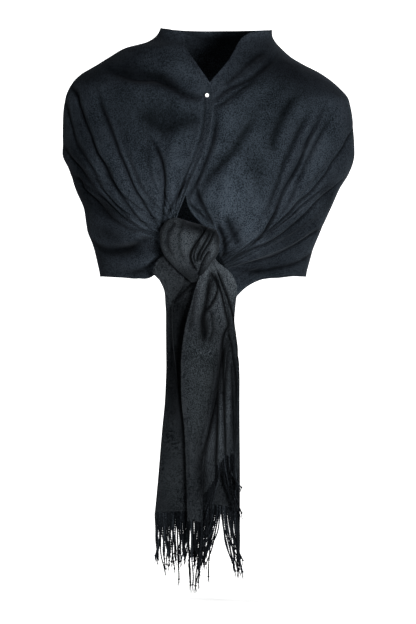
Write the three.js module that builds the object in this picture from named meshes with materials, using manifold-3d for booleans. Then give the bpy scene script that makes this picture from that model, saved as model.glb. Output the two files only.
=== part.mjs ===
// A pashmina shawl worn round the shoulders: the two ends are tied in a half knot at the waist and hang
// as fringed tails, and a bead-headed pin holds the crossed edges at the neck.
// Millimetres. +Z is up, -Y is the front, +X is the wearer's left.
// The origin is the middle of the neck opening, level with where the cloth bears on the shoulders.
import * as THREE from "three";
import { mergeVertices } from "three/addons/utils/BufferGeometryUtils.js";
import Module from "manifold-3d";

const wasm = await Module();
wasm.setup();

const lerp = THREE.MathUtils.lerp;
const clamp = THREE.MathUtils.clamp;
const smooth = THREE.MathUtils.smoothstep;

// Rows of a table as objects with the columns' names.
const table = (columns, rows) =>
  rows.map((row) => Object.fromEntries(columns.map((name, i) => [name, row[i]])));

// Driving sizes
const CLOTH = 2; // wall of the modelled cloth over the shoulders
const TAIL_CLOTH = 2; // the same in the tails, measured from front to back
const SEAM = 0.35; // gap where two stretches of the cloth meet
const OVERLAP_LIFT = 1.5; // how far the crossed fronts stand off the form, the right out and the left in
const SIDE_ANGLE = 90; // degrees round the body, from the front, where front and back stretches meet
const PIN = { x: -3, z: -55, head: 3, shank: 0.6, length: 14, behindForm: 6, clearance: 0.4 };
const STRAND = { radius: 1.1, sides: 3, turn: 2, nod: 2.5, shortest: 0.88 };
const STRIP = { height: 3, rootAt: 0.6 }; // rootAt is how far down the strip a strand starts

// How many steps each grid has
const FRONT_STEPS = { betweenFolds: 3, towardsKnot: 18 };
const BACK_STEPS = { betweenFolds: 3, across: 28 };
const KNOT_STEPS = { across: 24, around: 22 };
const TAIL_STEPS = { across: 36, down: 10 };
const TAIL_CROWDING = 1.7; // levels are closer together near the knot, where the outline turns

// The form that the cloth takes over the shoulders: level ellipses, one for each height.
// right and left are the half widths on the wearer's right (-X) and left (+X).
const BODY = [
  { height: 48, right: 72, left: 93, front: 62, back: 60 },
  { height: 36, right: 80, left: 95, front: 67, back: 66 },
  { height: 27, right: 93, left: 100, front: 71, back: 74 },
  { height: 18, right: 126, left: 108, front: 76, back: 82 },
  { height: 6, right: 148, left: 121, front: 83, back: 91 },
  { height: -6, right: 167, left: 140, front: 90, back: 98 },
  { height: -22, right: 193, left: 169, front: 97, back: 106 },
  { height: -40, right: 209, left: 193, front: 104, back: 112 },
  { height: -60, right: 216, left: 210, front: 110, back: 116 },
  { height: -90, right: 219, left: 216, front: 118, back: 120 },
  { height: -140, right: 220, left: 218, front: 127, back: 122 },
  { height: -165, right: 210, left: 212, front: 129, back: 121 },
  { height: -195, right: 200, left: 195, front: 130, back: 118 },
  { height: -225, right: 188, left: 182, front: 129, back: 114 },
  { height: -255, right: 183, left: 168, front: 127, back: 110 },
  { height: -285, right: 172, left: 156, front: 124, back: 106 },
  { height: -325, right: 163, left: 145, front: 118, back: 101 },
];
const NECK_BACK = 44; // height of the top edge at the centre back
const HEM_BACK = -320; // height of the lower edge at the centre back

// Courses are lines along the length of the cloth, from its top edge (0) to its lower edge (1).
// side is the height at which a course crosses the side of the body, and the other columns are the
// [x, z] points that it passes on its way to the knot. fold is how deep the cloth dips along it.
const STATIONS = ["collar", "yoke", "breast", "chest", "waist", "knot"];
const COURSE_COLUMNS = ["course", "side", ...STATIONS, "fold"];
const RIGHT_FRONT = table(COURSE_COLUMNS, [
  [0, 48, [-51, 42], [-36, 17], [-3, -30], [6, -76], [-10, -148], [-48, -238], 0],
  [0.1, 26, [-82, 20], [-58, -2], [-36, -44], [-28, -92], [-32, -152], [-50, -240], 0],
  [0.2, 8, [-118, 2], [-90, -16], [-72, -58], [-67, -112], [-66, -170], [-51, -245], 3],
  [0.3, -10, [-152, -18], [-126, -34], [-107, -76], [-98, -126], [-88, -184], [-52, -249], 0],
  [0.39, -28, [-184, -36], [-162, -55], [-145, -96], [-131, -138], [-106, -198], [-53, -253], 4],
  [0.48, -50, [-207, -58], [-192, -80], [-176, -114], [-157, -150], [-126, -208], [-54, -257], 4.5],
  [0.56, -92, [-214, -100], [-202, -118], [-187, -142], [-167, -172], [-130, -221], [-55, -262], 4.5],
  [0.64, -130, [-214, -138], [-206, -152], [-192, -170], [-170, -192], [-129, -233], [-56, -266], 2.5],
  [0.72, -172, [-201, -179], [-195, -188], [-180, -200], [-158, -216], [-122, -245], [-57, -270], 3],
  [0.79, -208, [-187, -214], [-181, -222], [-165, -233], [-146, -244], [-116, -257], [-57, -275], 6],
  [0.9, -270, [-172, -274], [-166, -280], [-150, -288], [-132, -290], [-106, -282], [-56, -282], 5],
  [1, -325, [-160, -325], [-148, -326], [-128, -327], [-108, -328], [-86, -326], [-60, -302], 0],
]);
const LEFT_FRONT = table(COURSE_COLUMNS, [
  [0, 45, [60, 39], [33, 4], [-8, -48], [-18, -134], [-38, -213], [-1, -263], 0],
  [0.1, 12, [99, 2], [62, -16], [26, -74], [6, -146], [-6, -214], [6, -274], 2],
  [0.2, -12, [128, -24], [94, -44], [64, -104], [42, -172], [26, -234], [12, -284], 0],
  [0.31, -36, [164, -50], [134, -66], [106, -124], [78, -190], [52, -250], [16, -293], 2.5],
  [0.4, -66, [193, -76], [167, -94], [141, -144], [109, -206], [76, -262], [19, -300], 6],
  [0.56, -134, [208, -146], [192, -158], [168, -186], [136, -222], [88, -262], [21, -306], 4],
  [0.66, -186, [193, -196], [180, -204], [157, -225], [126, -250], [82, -279], [23, -310], 4.5],
  [0.83, -252, [163, -260], [152, -268], [132, -280], [106, -292], [68, -306], [25, -315], 3.5],
  [1, -325, [138, -325], [126, -325], [106, -327], [82, -329], [56, -341], [32, -364], 0],
]);
// Creases that cross the courses: hollows along paths of [x, z] points on the front.
const CREASES = [
  { path: [[6, -61], [25, -46], [55, -33], [78, -17], [93, -2], [103, 6]], depth: 4, width: 9 },
  { path: [[-143, -18], [-109, -29], [-80, -27], [-58, -38], [-40, -54], [-11, -63]], depth: 4, width: 10 },
  { path: [[-95, -78], [-87, -98], [-73, -113], [-44, -97], [-15, -88]], depth: 2.5, width: 9 },
  { path: [[-87, -98], [-76, -137], [-70, -156], [-69, -192], [-66, -225]], depth: 3.5, width: 8 },
];
// Folds across the back hang between the shoulders as shallow swags.
const BACK_FOLDS = [
  { course: 0.2, sag: 10, fold: 3 },
  { course: 0.36, sag: 22, fold: 4 },
  { course: 0.52, sag: 30, fold: 4.5 },
  { course: 0.68, sag: 26, fold: 4 },
  { course: 0.84, sag: 14, fold: 3.5 },
];

// The knot from the front: at each height the band runs from its left to its right outline,
// and its folds follow lines from the top outline to the point where they all tuck under.
const KNOT = {
  down: [
    { at: 0, left: [-66, -245], right: [12, -256] },
    { at: 0.25, left: [-74, -262], right: [17, -272] },
    { at: 0.5, left: [-71, -284], right: [15, -288] },
    { at: 0.75, left: [-56, -307], right: [3, -306] },
    { at: 1, left: [-26, -334], right: [-14, -330] },
  ],
  topRise: 16, // how far the middle of the top outline stands above its two ends
  middle: -141, // depth of the knot's middle
  front: 36,
  back: 28,
  end: 0.02, // share of the width at which the rounded ends are cut flat
  pleatWidth: 0.028,
  pleats: [
    { at: 0.14, depth: 1.5 },
    { at: 0.58, depth: 3.2 },
    { at: 0.7, depth: 2.8 },
    { at: 0.81, depth: 3.2 },
    { at: 0.92, depth: 2 },
  ],
};

// The tails: rows are levels down the length, with the outline's left and right x and the depth y.
// hem rows give the height of the lower edge at a share of the width.
const FRONT_TAIL = {
  rows: [
    { height: -290, left: -16, right: 8, depth: -138, ripple: 0.55 },
    { height: -312, left: -16, right: 22, depth: -145, ripple: 0.8 },
    { height: -340, left: -24, right: 37, depth: -149, ripple: 1 },
    { height: -390, left: -34, right: 39, depth: -150, ripple: 1 },
    { height: -430, left: -40, right: 43, depth: -149, ripple: 1 },
    { height: -500, left: -42, right: 44, depth: -147, ripple: 1 },
    { height: -600, left: -35, right: 40, depth: -145, ripple: 1 },
    { height: -700, left: -31, right: 36, depth: -144, ripple: 1 },
  ],
  hem: [
    { share: 0, height: -690 },
    { share: 0.3, height: -691 },
    { share: 0.5, height: -634 },
    { share: 0.72, height: -600 },
    { share: 1, height: -590 },
  ],
  pleats: [
    { top: 0.12, bottom: 0.08, width: 0.1, depth: 3.5 },
    { top: 0.36, bottom: 0.36, width: 0.07, depth: -5.5 },
    { top: 0.5, bottom: 0.5, width: 0.06, depth: 5 },
    { top: 0.62, bottom: 0.62, width: 0.06, depth: -5.5 },
    { top: 0.75, bottom: 0.75, width: 0.06, depth: 5 },
    { top: 0.88, bottom: 0.88, width: 0.06, depth: -5.5 },
  ],
};
const REAR_TAIL = {
  rows: [
    { height: -285, left: -54, right: -14, depth: -130, ripple: 0.4 },
    { height: -305, left: -78, right: 2, depth: -131, ripple: 0.6 },
    { height: -318, left: -84, right: 12, depth: -132, ripple: 0.8 },
    { height: -332, left: -73, right: 20, depth: -132, ripple: 0.9 },
    { height: -350, left: -66, right: 25, depth: -132, ripple: 1 },
    { height: -382, left: -64, right: 30, depth: -131, ripple: 1 },
    { height: -455, left: -64, right: 45, depth: -130, ripple: 1 },
    { height: -560, left: -70, right: 46, depth: -129, ripple: 1 },
    { height: -700, left: -82, right: 46, depth: -128, ripple: 1 },
  ],
  hem: [
    { share: 0, height: -678 },
    { share: 0.5, height: -676 },
    { share: 1, height: -680 },
  ],
  pleats: [
    { top: 0.1, bottom: 0.05, width: 0.07, depth: -4 },
    { top: 0.24, bottom: 0.22, width: 0.08, depth: 4.5 },
    { top: 0.42, bottom: 0.36, width: 0.07, depth: -4 },
    { top: 0.6, bottom: 0.55, width: 0.08, depth: 4 },
    { top: 0.78, bottom: 0.72, width: 0.07, depth: -4.5 },
    { top: 0.9, bottom: 0.9, width: 0.06, depth: 4.5 },
  ],
};
const FRINGES = {
  front: { length: 98, sway: 5 },
  rear: { length: 88, sway: 5 },
};

// A smooth curve through a table's column: a function of the table's first column.
function column(rows, key, value) {
  const keys = rows.map((row) => row[key]);
  const values = rows.map(value);
  const rising = keys[0] < keys[keys.length - 1];
  const slope = (i) => (values[i + 1] - values[i]) / (keys[i + 1] - keys[i]);
  // Slopes are limited so that the curve never overshoots its rows.
  const tangents = keys.map((_, i) => {
    if (i === 0) return slope(0);
    if (i === keys.length - 1) return slope(i - 1);
    const before = slope(i - 1);
    const after = slope(i);
    return before * after <= 0 ? 0 : (2 * before * after) / (before + after);
  });
  return (at) => {
    let i = 0;
    while (i < keys.length - 2 && (rising ? at > keys[i + 1] : at < keys[i + 1])) i++;
    const span = keys[i + 1] - keys[i];
    const u = clamp((at - keys[i]) / span, 0, 1);
    return (
      values[i] * (1 + 2 * u) * (1 - u) ** 2 +
      tangents[i] * span * u * (1 - u) ** 2 +
      values[i + 1] * u * u * (3 - 2 * u) +
      tangents[i + 1] * span * u * u * (u - 1)
    );
  };
}

const body = {
  right: column(BODY, "height", (row) => row.right),
  left: column(BODY, "height", (row) => row.left),
  front: column(BODY, "height", (row) => row.front),
  back: column(BODY, "height", (row) => row.back),
};

// A point of the form at an angle round the body, from the front towards +X, and a height.
function bodyPoint(angle, height) {
  const across = Math.sin(angle) * (Math.sin(angle) < 0 ? body.right(height) : body.left(height));
  const out = Math.cos(angle) * (Math.cos(angle) > 0 ? body.front(height) : body.back(height));
  return new THREE.Vector3(across, -out, height);
}

// The angle round the body at which the front of the form has a given x.
function frontAngle([x, z]) {
  const half = x < 0 ? body.right(z) : body.left(z);
  return Math.asin(clamp(x / half, -1, 1));
}

// Catmull-Rom through equally spaced stations.
function along(values, share) {
  const last = values.length - 1;
  const at = clamp(share, 0, 1) * last;
  const i = Math.min(Math.floor(at), last - 1);
  const u = at - i;
  const [a, b] = [values[i], values[i + 1]];
  const before = i > 0 ? values[i - 1] : 2 * a - b;
  const after = i + 2 <= last ? values[i + 2] : 2 * b - a;
  return (
    0.5 *
    (2 * a +
      (b - before) * u +
      (2 * before - 5 * a + 4 * b - after) * u * u +
      (3 * a - before - 3 * b + after) * u ** 3)
  );
}

// One front stretch: a function of the course across the cloth and the share of the way to the knot.
function frontStretch(rows, sideSign) {
  const sideHeight = column(rows, "course", (row) => row.side);
  const stations = STATIONS.map((name) => ({
    angle: column(rows, "course", (row) => frontAngle(row[name])),
    height: column(rows, "course", (row) => row[name][1]),
  }));
  const sideAngle = sideSign * THREE.MathUtils.degToRad(SIDE_ANGLE);
  const point = (course, share) => {
    const angles = [sideAngle, ...stations.map((station) => station.angle(course))];
    const heights = [sideHeight(course), ...stations.map((station) => station.height(course))];
    return bodyPoint(along(angles, share), along(heights, share));
  };
  return { point, sideHeight };
}

// The back stretch: a function of the course and the share of the way from the right side to the left.
function backStretch(rightHeight, leftHeight) {
  const rows = [{ course: 0, sag: 0 }, ...BACK_FOLDS, { course: 1, sag: 0 }];
  const sag = column(rows, "course", (row) => row.sag);
  return (course, share) => {
    const angle = -Math.PI / 2 - Math.PI * share;
    const middle = Math.sin(Math.PI * share) ** 2;
    const sides = lerp(rightHeight(course), leftHeight(course), smooth(share, 0, 1));
    const centre = lerp(NECK_BACK, HEM_BACK, course) - sag(course) * 0.3;
    return bodyPoint(angle, lerp(sides, centre, middle));
  };
}

// How far the cloth stands in or out: it dips along each fold's course and is rounded between them.
function foldRelief(rows) {
  return (course) => {
    let i = 0;
    while (i < rows.length - 2 && course > rows[i + 1].course) i++;
    const u = clamp((course - rows[i].course) / (rows[i + 1].course - rows[i].course), 0, 1);
    const dip = lerp(rows[i].fold, rows[i + 1].fold, u);
    const crest = Math.sin(Math.PI * u) ** 0.8;
    return dip * (crest - 0.5) * (rows[i].fold + rows[i + 1].fold > 0 ? 1 : 0);
  };
}

// How deep the creases are at a point of the front.
function creaseRelief(point) {
  const flat = (x, z) => new THREE.Vector3(x, 0, z);
  const here = flat(point.x, point.z);
  const nearest = new THREE.Vector3();
  return CREASES.reduce((sum, { path, depth, width }) => {
    const distances = path.slice(1).map(([x, z], i) => {
      const stretch = new THREE.Line3(flat(...path[i]), flat(x, z));
      return stretch.closestPointToPoint(here, true, nearest).distanceTo(here);
    });
    return sum + depth * Math.exp(-((Math.min(...distances) / width) ** 2));
  }, 0);
}

// The places across the cloth where a wall gets a line of points: each fold and steps between them.
function coursesOf(rows, steps) {
  const found = [];
  rows.slice(1).forEach((row, i) => {
    for (let k = 0; k < steps; k++) found.push(lerp(rows[i].course, row.course, k / steps));
  });
  return [...found, rows[rows.length - 1].course];
}

const evenShares = (steps) => Array.from({ length: steps + 1 }, (_, i) => i / steps);

// The direction of a line of points at one of them. An end uses three points, so that it isn't a chord's.
function directionAt(line, i) {
  const last = line.length - 1;
  if (i > 0 && i < last) return line[i + 1].clone().sub(line[i - 1]);
  if (last < 2) return line[last].clone().sub(line[0]);
  const [end, next, third] = i === 0 ? [0, 1, 2] : [last, last - 1, last - 2];
  const away = line[next].clone().multiplyScalar(4).addScaledVector(line[end], -3).sub(line[third]);
  return i === 0 ? away : away.negate();
}

// Outward normals of a smooth grid of points. facing is -1 where the cross product points inwards.
function gridNormals(points, facing) {
  const columns = points[0].map((_, j) => points.map((line) => line[j]));
  return points.map((line, i) =>
    line.map((_, j) => directionAt(columns[j], i).cross(directionAt(line, j)).setLength(facing)),
  );
}

// A closed wall on a smooth grid of points: its outer face stands off the grid by relief(i, j) along the
// normals, and its inner face is the outer one moved back by the thickness, so that it never crosses itself.
function wall({ points, normals, facing, thickness, relief }) {
  const face = (depth) =>
    points.map((line, i) =>
      line.map((point, j) => point.clone().addScaledVector(normals[i][j], relief(i, j) - depth)),
    );
  const [rows, columns] = [points.length, points[0].length];
  const corners = [...face(0).flat(), ...face(thickness).flat()];
  const index = (side, i, j) => side * rows * columns + i * columns + j;
  const faces = [];
  const quad = (a, b, c, d) => (facing > 0 ? faces.push(a, b, c, a, c, d) : faces.push(a, c, b, a, d, c));
  for (let i = 0; i < rows - 1; i++) {
    for (let j = 0; j < columns - 1; j++) {
      quad(index(0, i, j), index(0, i + 1, j), index(0, i + 1, j + 1), index(0, i, j + 1));
      quad(index(1, i, j), index(1, i, j + 1), index(1, i + 1, j + 1), index(1, i + 1, j));
    }
  }
  const [lastRow, lastColumn] = [rows - 1, columns - 1];
  for (let j = 0; j < lastColumn; j++) {
    quad(index(0, 0, j), index(0, 0, j + 1), index(1, 0, j + 1), index(1, 0, j));
    quad(index(0, lastRow, j + 1), index(0, lastRow, j), index(1, lastRow, j), index(1, lastRow, j + 1));
  }
  for (let i = 0; i < lastRow; i++) {
    quad(index(0, i + 1, 0), index(0, i, 0), index(1, i, 0), index(1, i + 1, 0));
    quad(
      index(0, i, lastColumn),
      index(0, i + 1, lastColumn),
      index(1, i + 1, lastColumn),
      index(1, i, lastColumn),
    );
  }
  return solid(corners, faces);
}

// A manifold solid from points and faces.
function solid(points, faces) {
  const vertProperties = new Float32Array(points.flatMap((point) => point.toArray()));
  return new wasm.Manifold(new wasm.Mesh({ numProp: 3, vertProperties, triVerts: new Uint32Array(faces) }));
}

// A manifold solid from a three.js geometry.
function solidOf(geometry) {
  geometry.deleteAttribute("normal");
  geometry.deleteAttribute("uv");
  const merged = mergeVertices(geometry, 1e-4);
  return new wasm.Manifold(
    new wasm.Mesh({
      numProp: 3,
      vertProperties: merged.attributes.position.array,
      triVerts: new Uint32Array(merged.index.array),
    }),
  );
}

// A closed tube of rings: each ring is a loop of points, and the two end rings are capped.
function tube(rings) {
  const count = rings[0].length;
  const centre = (ring) =>
    ring.reduce((sum, point) => sum.add(point), new THREE.Vector3()).multiplyScalar(1 / count);
  const points = [...rings.flat(), centre(rings[0]), centre(rings[rings.length - 1])];
  const [first, last] = [rings.length * count, rings.length * count + 1];
  const faces = [];
  for (let i = 0; i < rings.length - 1; i++) {
    for (let j = 0; j < count; j++) {
      const k = (j + 1) % count;
      faces.push(i * count + j, i * count + k, (i + 1) * count + k);
      faces.push(i * count + j, (i + 1) * count + k, (i + 1) * count + j);
    }
  }
  const end = (rings.length - 1) * count;
  for (let j = 0; j < count; j++) {
    const k = (j + 1) % count;
    faces.push(first, k, j);
    faces.push(last, end + j, end + k);
  }
  return solid(points, faces);
}

// The knot: one rounded solid whose front shows the band that wraps over it and tucks under.
// grow moves its surface out, away from its middle.
function knot(grow) {
  const side = (name, axis) => column(KNOT.down, "at", (row) => row[name][axis]);
  const [leftX, rightX] = [side("left", 0), side("right", 0)];
  const [leftZ, rightZ] = [side("left", 1), side("right", 1)];
  const ring = (share) => {
    const offMiddle = 2 * share - 1;
    const bulge = Math.sqrt(Math.max(0, 1 - offMiddle ** 4));
    const pleat = KNOT.pleats.reduce(
      (sum, row) => sum + row.depth * Math.exp(-(((share - row.at) / KNOT.pleatWidth) ** 2)),
      0,
    );
    return Array.from({ length: KNOT_STEPS.around }, (_, j) => {
      const turn = (2 * Math.PI * j) / KNOT_STEPS.around;
      const down = (1 - Math.cos(turn)) / 2;
      const rise = KNOT.topRise * (1 - offMiddle ** 2) * (1 - down);
      const front = Math.max(0, Math.sin(turn));
      const depth = Math.sin(turn) * (front > 0 ? KNOT.front : KNOT.back) * bulge;
      return new THREE.Vector3(
        lerp(leftX(down), rightX(down), share),
        KNOT.middle - depth + pleat * front * front,
        lerp(leftZ(down), rightZ(down), share) + rise,
      );
    });
  };
  const rings = evenShares(KNOT_STEPS.across).map((share) => ring(lerp(KNOT.end, 1 - KNOT.end, share)));
  const corners = rings.flat();
  const middle = corners.reduce((sum, point) => sum.add(point), new THREE.Vector3());
  middle.multiplyScalar(1 / corners.length);
  corners.forEach((point) => point.add(point.clone().sub(middle).setLength(grow)));
  return tube(rings);
}

// A hanging tail: a function of the share of the width and the share of the way down to the hem.
function tail({ rows, hem, pleats }) {
  const level = (name) => column(rows, "height", (row) => row[name]);
  const [left, right, depth, ripple] = [level("left"), level("right"), level("depth"), level("ripple")];
  const hemHeight = column(hem, "share", (row) => row.height);
  return (share, down) => {
    const height = lerp(rows[0].height, hemHeight(share), down);
    const relief = pleats.reduce((sum, row) => {
      const at = lerp(row.top, row.bottom, down);
      return sum + row.depth * Math.exp(-(((share - at) / row.width) ** 2));
    }, 0);
    return new THREE.Vector3(
      lerp(left(height), right(height), share),
      depth(height) - relief * ripple(height),
      height,
    );
  };
}

// A wall that hangs straight: its thickness is measured from front to back.
function hangingWall(points) {
  const forward = new THREE.Vector3(0, -1, 0);
  const normals = points.map((line) => line.map(() => forward));
  return wall({ points, normals, facing: -1, thickness: TAIL_CLOTH, relief: () => 0 });
}

function tailWall(form) {
  const point = tail(form);
  const levels = evenShares(TAIL_STEPS.down).map((down) => down ** TAIL_CROWDING);
  return hangingWall(evenShares(TAIL_STEPS.across).map((share) => levels.map((down) => point(share, down))));
}

// One strand: it hangs from its root, and drifts sideways and to the front more and more towards its end.
function strand(root, reach, drift) {
  const rings = evenShares(2).map((down) => {
    const centre = root.clone().addScaledVector(drift, down * down);
    centre.z -= reach * down;
    return Array.from({ length: STRAND.sides }, (_, j) => {
      const turn = down * STRAND.turn - (2 * Math.PI * j) / STRAND.sides;
      return new THREE.Vector3(Math.cos(turn), Math.sin(turn), 0).multiplyScalar(STRAND.radius).add(centre);
    });
  });
  return tube(rings);
}

// A fringe: a strip just under the hem, with a twisted strand hanging from each of its lines of points.
function fringe(form, { length, sway }) {
  const point = tail(form);
  // The strip keeps its height square to the hem where the hem slants.
  const slant = (share) => {
    const step = 0.5 / TAIL_STEPS.across;
    const run = point(Math.min(share + step, 1), 1).sub(point(Math.max(share - step, 0), 1));
    return Math.hypot(1, run.z / Math.hypot(run.x, run.y));
  };
  const drop = (share, below) => point(share, 1).add(new THREE.Vector3(0, 0, -below * slant(share)));
  const strip = evenShares(TAIL_STEPS.across).map((share) => [
    drop(share, SEAM),
    drop(share, SEAM + STRIP.height),
  ]);
  let made = hangingWall(strip);
  for (let k = 1; k < TAIL_STEPS.across; k++) {
    // Sines of steps that never repeat make the strands uneven, and the same each time.
    const drift = new THREE.Vector3(sway * Math.sin(k * 2.4), STRAND.nod * Math.sin(k * 1.7 + 1), 0);
    const reach = length * lerp(1, STRAND.shortest, Math.abs(Math.sin(k * 3.1)));
    const root = strip[k][0].clone().lerp(strip[k][1], STRIP.rootAt);
    root.y += TAIL_CLOTH / 2;
    made = made.add(strand(root, reach, drift));
  }
  return made;
}

// A straight rod through the cloth at the pin, from behind it.
function pinShank(radius, length) {
  const behind = PIN.behindForm - body.front(PIN.z);
  const geometry = new THREE.CylinderGeometry(radius, radius, length, 12);
  geometry.translate(PIN.x, behind - length / 2, PIN.z);
  return solidOf(geometry);
}

// The bead-headed pin: its head lies on the cloth and its shank goes through both crossed edges.
function pin() {
  const clothFace = -body.front(PIN.z) - OVERLAP_LIFT - SEAM;
  const head = new THREE.SphereGeometry(PIN.head, 14, 10);
  head.translate(PIN.x, clothFace - PIN.head, PIN.z);
  return solidOf(head).add(pinShank(PIN.shank, PIN.length));
}

const right = frontStretch(RIGHT_FRONT, -1);
const left = frontStretch(LEFT_FRONT, 1);

// The wall of a front stretch. Its folds fade in from the side and grow flat again in the knot.
function frontWall(stretch, rows, facing, lift) {
  const courses = coursesOf(rows, FRONT_STEPS.betweenFolds);
  const shares = evenShares(FRONT_STEPS.towardsKnot);
  const foldAt = foldRelief(rows);
  const points = courses.map((course) => shares.map((share) => stretch.point(course, share)));
  const relief = (i, j) => {
    const strength = smooth(shares[j], 0.02, 0.35) * (1 - 0.75 * smooth(shares[j], 0.7, 1));
    const crossed = (1 - smooth(courses[i], 0.06, 0.2)) * smooth(shares[j], 0.15, 0.35);
    const creased = creaseRelief(points[i][j]) * smooth(courses[i], 0.06, 0.18);
    return foldAt(courses[i]) * strength - creased + lift * crossed;
  };
  return wall({ points, normals: gridNormals(points, facing), facing, thickness: CLOTH, relief });
}

// The wall of the back stretch, a little short of the sides, where the fronts start.
function backWall() {
  const rows = [{ course: 0, fold: 0 }, ...BACK_FOLDS, { course: 1, fold: 0 }];
  const courses = coursesOf(rows, BACK_STEPS.betweenFolds);
  const foldAt = foldRelief(rows);
  const point = backStretch(right.sideHeight, left.sideHeight);
  const gap = (1.5 * SEAM) / (Math.PI * BODY[BODY.length - 1].back);
  const shares = evenShares(BACK_STEPS.across).map((share) => lerp(gap, 1 - gap, share));
  const points = courses.map((course) => shares.map((share) => point(course, share)));
  const relief = (i, j) => foldAt(courses[i]) * Math.sin(Math.PI * shares[j]) ** 0.7;
  return wall({ points, normals: gridNormals(points, -1), facing: -1, thickness: CLOTH, relief });
}

const MATERIALS = {
  cloth: { color: 0x14171c, roughness: 0.85, metalness: 0 },
  fringe: { color: 0x111317, roughness: 0.9, metalness: 0 },
  bead: { color: 0xe8e6e0, roughness: 0.25, metalness: 0 },
};

const shawl = new THREE.Group();

function add(name, made, material) {
  const mesh = made.getMesh();
  const geometry = new THREE.BufferGeometry();
  geometry.setAttribute("position", new THREE.BufferAttribute(new Float32Array(mesh.vertProperties), 3));
  geometry.setIndex(new THREE.BufferAttribute(new Uint32Array(mesh.triVerts), 1));
  const part = new THREE.Mesh(geometry, new THREE.MeshStandardMaterial(MATERIALS[material]));
  part.name = name;
  shawl.add(part);
}

// The knot's space, a seam's gap larger than it, and the pin's hole are cut out of the cloth round them.
const knotSpace = knot(SEAM);
const pinHole = pinShank(PIN.shank + PIN.clearance, PIN.length + PIN.behindForm);
const cutFront = (made) => made.subtract(knotSpace).subtract(pinHole);

add("back_stretch", backWall(), "cloth");
add("right_front_stretch", cutFront(frontWall(right, RIGHT_FRONT, 1, OVERLAP_LIFT)), "cloth");
add("left_front_stretch", cutFront(frontWall(left, LEFT_FRONT, -1, -OVERLAP_LIFT)), "cloth");
add("knot", knot(0), "cloth");
add("front_tail", tailWall(FRONT_TAIL).subtract(knotSpace), "cloth");
add("rear_tail", tailWall(REAR_TAIL).subtract(knotSpace), "cloth");
add("front_fringe", fringe(FRONT_TAIL, FRINGES.front), "fringe");
add("rear_fringe", fringe(REAR_TAIL, FRINGES.rear), "fringe");
add("neck_pin", pin(), "bead");

export default shawl;
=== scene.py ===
"""The looks of a black pashmina shawl: twill cloth draped over the shoulders, a knot with two fringed
tails, and a bead-headed pin.

Tables are in millimetres in the part's own frame (+Z up, -Y the front, +X the wearer's left), because
the shape functions below are the same as the solid model's. Meshes are made in metres.
"""

import math

import bpy
import numpy as np
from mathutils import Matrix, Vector


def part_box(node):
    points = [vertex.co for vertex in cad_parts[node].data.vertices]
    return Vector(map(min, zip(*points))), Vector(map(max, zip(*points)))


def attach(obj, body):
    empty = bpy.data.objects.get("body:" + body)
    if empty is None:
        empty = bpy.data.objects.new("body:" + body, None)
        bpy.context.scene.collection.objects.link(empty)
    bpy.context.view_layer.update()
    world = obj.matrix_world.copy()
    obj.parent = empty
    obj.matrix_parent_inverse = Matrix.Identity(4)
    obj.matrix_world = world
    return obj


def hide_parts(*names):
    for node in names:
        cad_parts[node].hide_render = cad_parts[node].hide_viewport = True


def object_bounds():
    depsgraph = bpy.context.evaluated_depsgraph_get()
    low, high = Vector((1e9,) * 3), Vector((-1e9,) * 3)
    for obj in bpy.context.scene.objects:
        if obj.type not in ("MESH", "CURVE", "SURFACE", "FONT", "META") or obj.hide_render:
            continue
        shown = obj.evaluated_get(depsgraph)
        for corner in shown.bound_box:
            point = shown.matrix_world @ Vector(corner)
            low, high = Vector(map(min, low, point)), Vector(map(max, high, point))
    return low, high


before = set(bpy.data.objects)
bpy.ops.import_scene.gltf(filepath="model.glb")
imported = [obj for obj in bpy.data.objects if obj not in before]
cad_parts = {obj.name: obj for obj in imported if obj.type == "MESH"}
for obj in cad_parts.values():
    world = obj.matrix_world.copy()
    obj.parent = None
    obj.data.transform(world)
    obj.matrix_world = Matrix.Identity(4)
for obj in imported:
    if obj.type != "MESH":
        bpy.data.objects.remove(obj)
cad_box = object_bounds()

MM = 0.001
SHADE_LAYER = "fold_shade"

# Sizes of the cloth, mm
CLOTH = 0.9  # real cloth, of two layers where the shawl lies doubled
OVERLAP_LIFT = 1.7  # how far the crossed fronts stand off the form, the right out and the left in
EDGE_BAND = {"width": 14, "rise": 1.3, "groove": 2.6, "groove_width": 2.4, "shade": 0.55}
HEM_ROLL = {"width": 5, "rise": 0.9}
FOLD_DEPTH = 1.9  # scales every fold of the fronts
CROWDING = 3  # 1 would add up the depths of folds that lie together
FOLD_SINK = (0.3, 1, 0.5)  # how much of a fold's depth goes sideways, back and up or down
GATHER = {"depth": 2.2, "count": 11, "shift": 1.3, "waves": 5, "level": 0.5, "sharp": 3}
KNOT_PULL = 15  # how far the fronts come forward to where they are tied
SOFTEN = 0.7  # the power that makes waves of the cloth rounder than sines
# The swags of the back. level is the share of their height that lies under the form, and the two waves
# say how they wander up and down and how they come and go, in turns across the back and for each swag.
# crease and shade say how wide and how dark the painted shade along their folds is.
SWAG = {
    "depth": 2.1, "level": 0.6, "sag": 0.3, "wander": 0.16, "wander_waves": (1.3, 0.21), "even": 0.65,
    "loose_waves": (0.9, 0.37), "crease": 0.28, "shade": 0.6,
}
# Fine pleats: how many down the cloth, how high, where they start towards the knot, how far they slant
PLEATS = [
    {"count": 7.3, "height": 1.8, "start": 0.1, "slant": 0.35},
    {"count": 13.7, "height": 1.2, "start": 0.25, "slant": 0.5},
    {"count": 23.1, "height": 0.8, "start": 0.4, "slant": 0.6},
]
PLEAT_WAVE = {"along": 3.3, "down": 7, "level": 0.2, "reach": 0.5}

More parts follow.
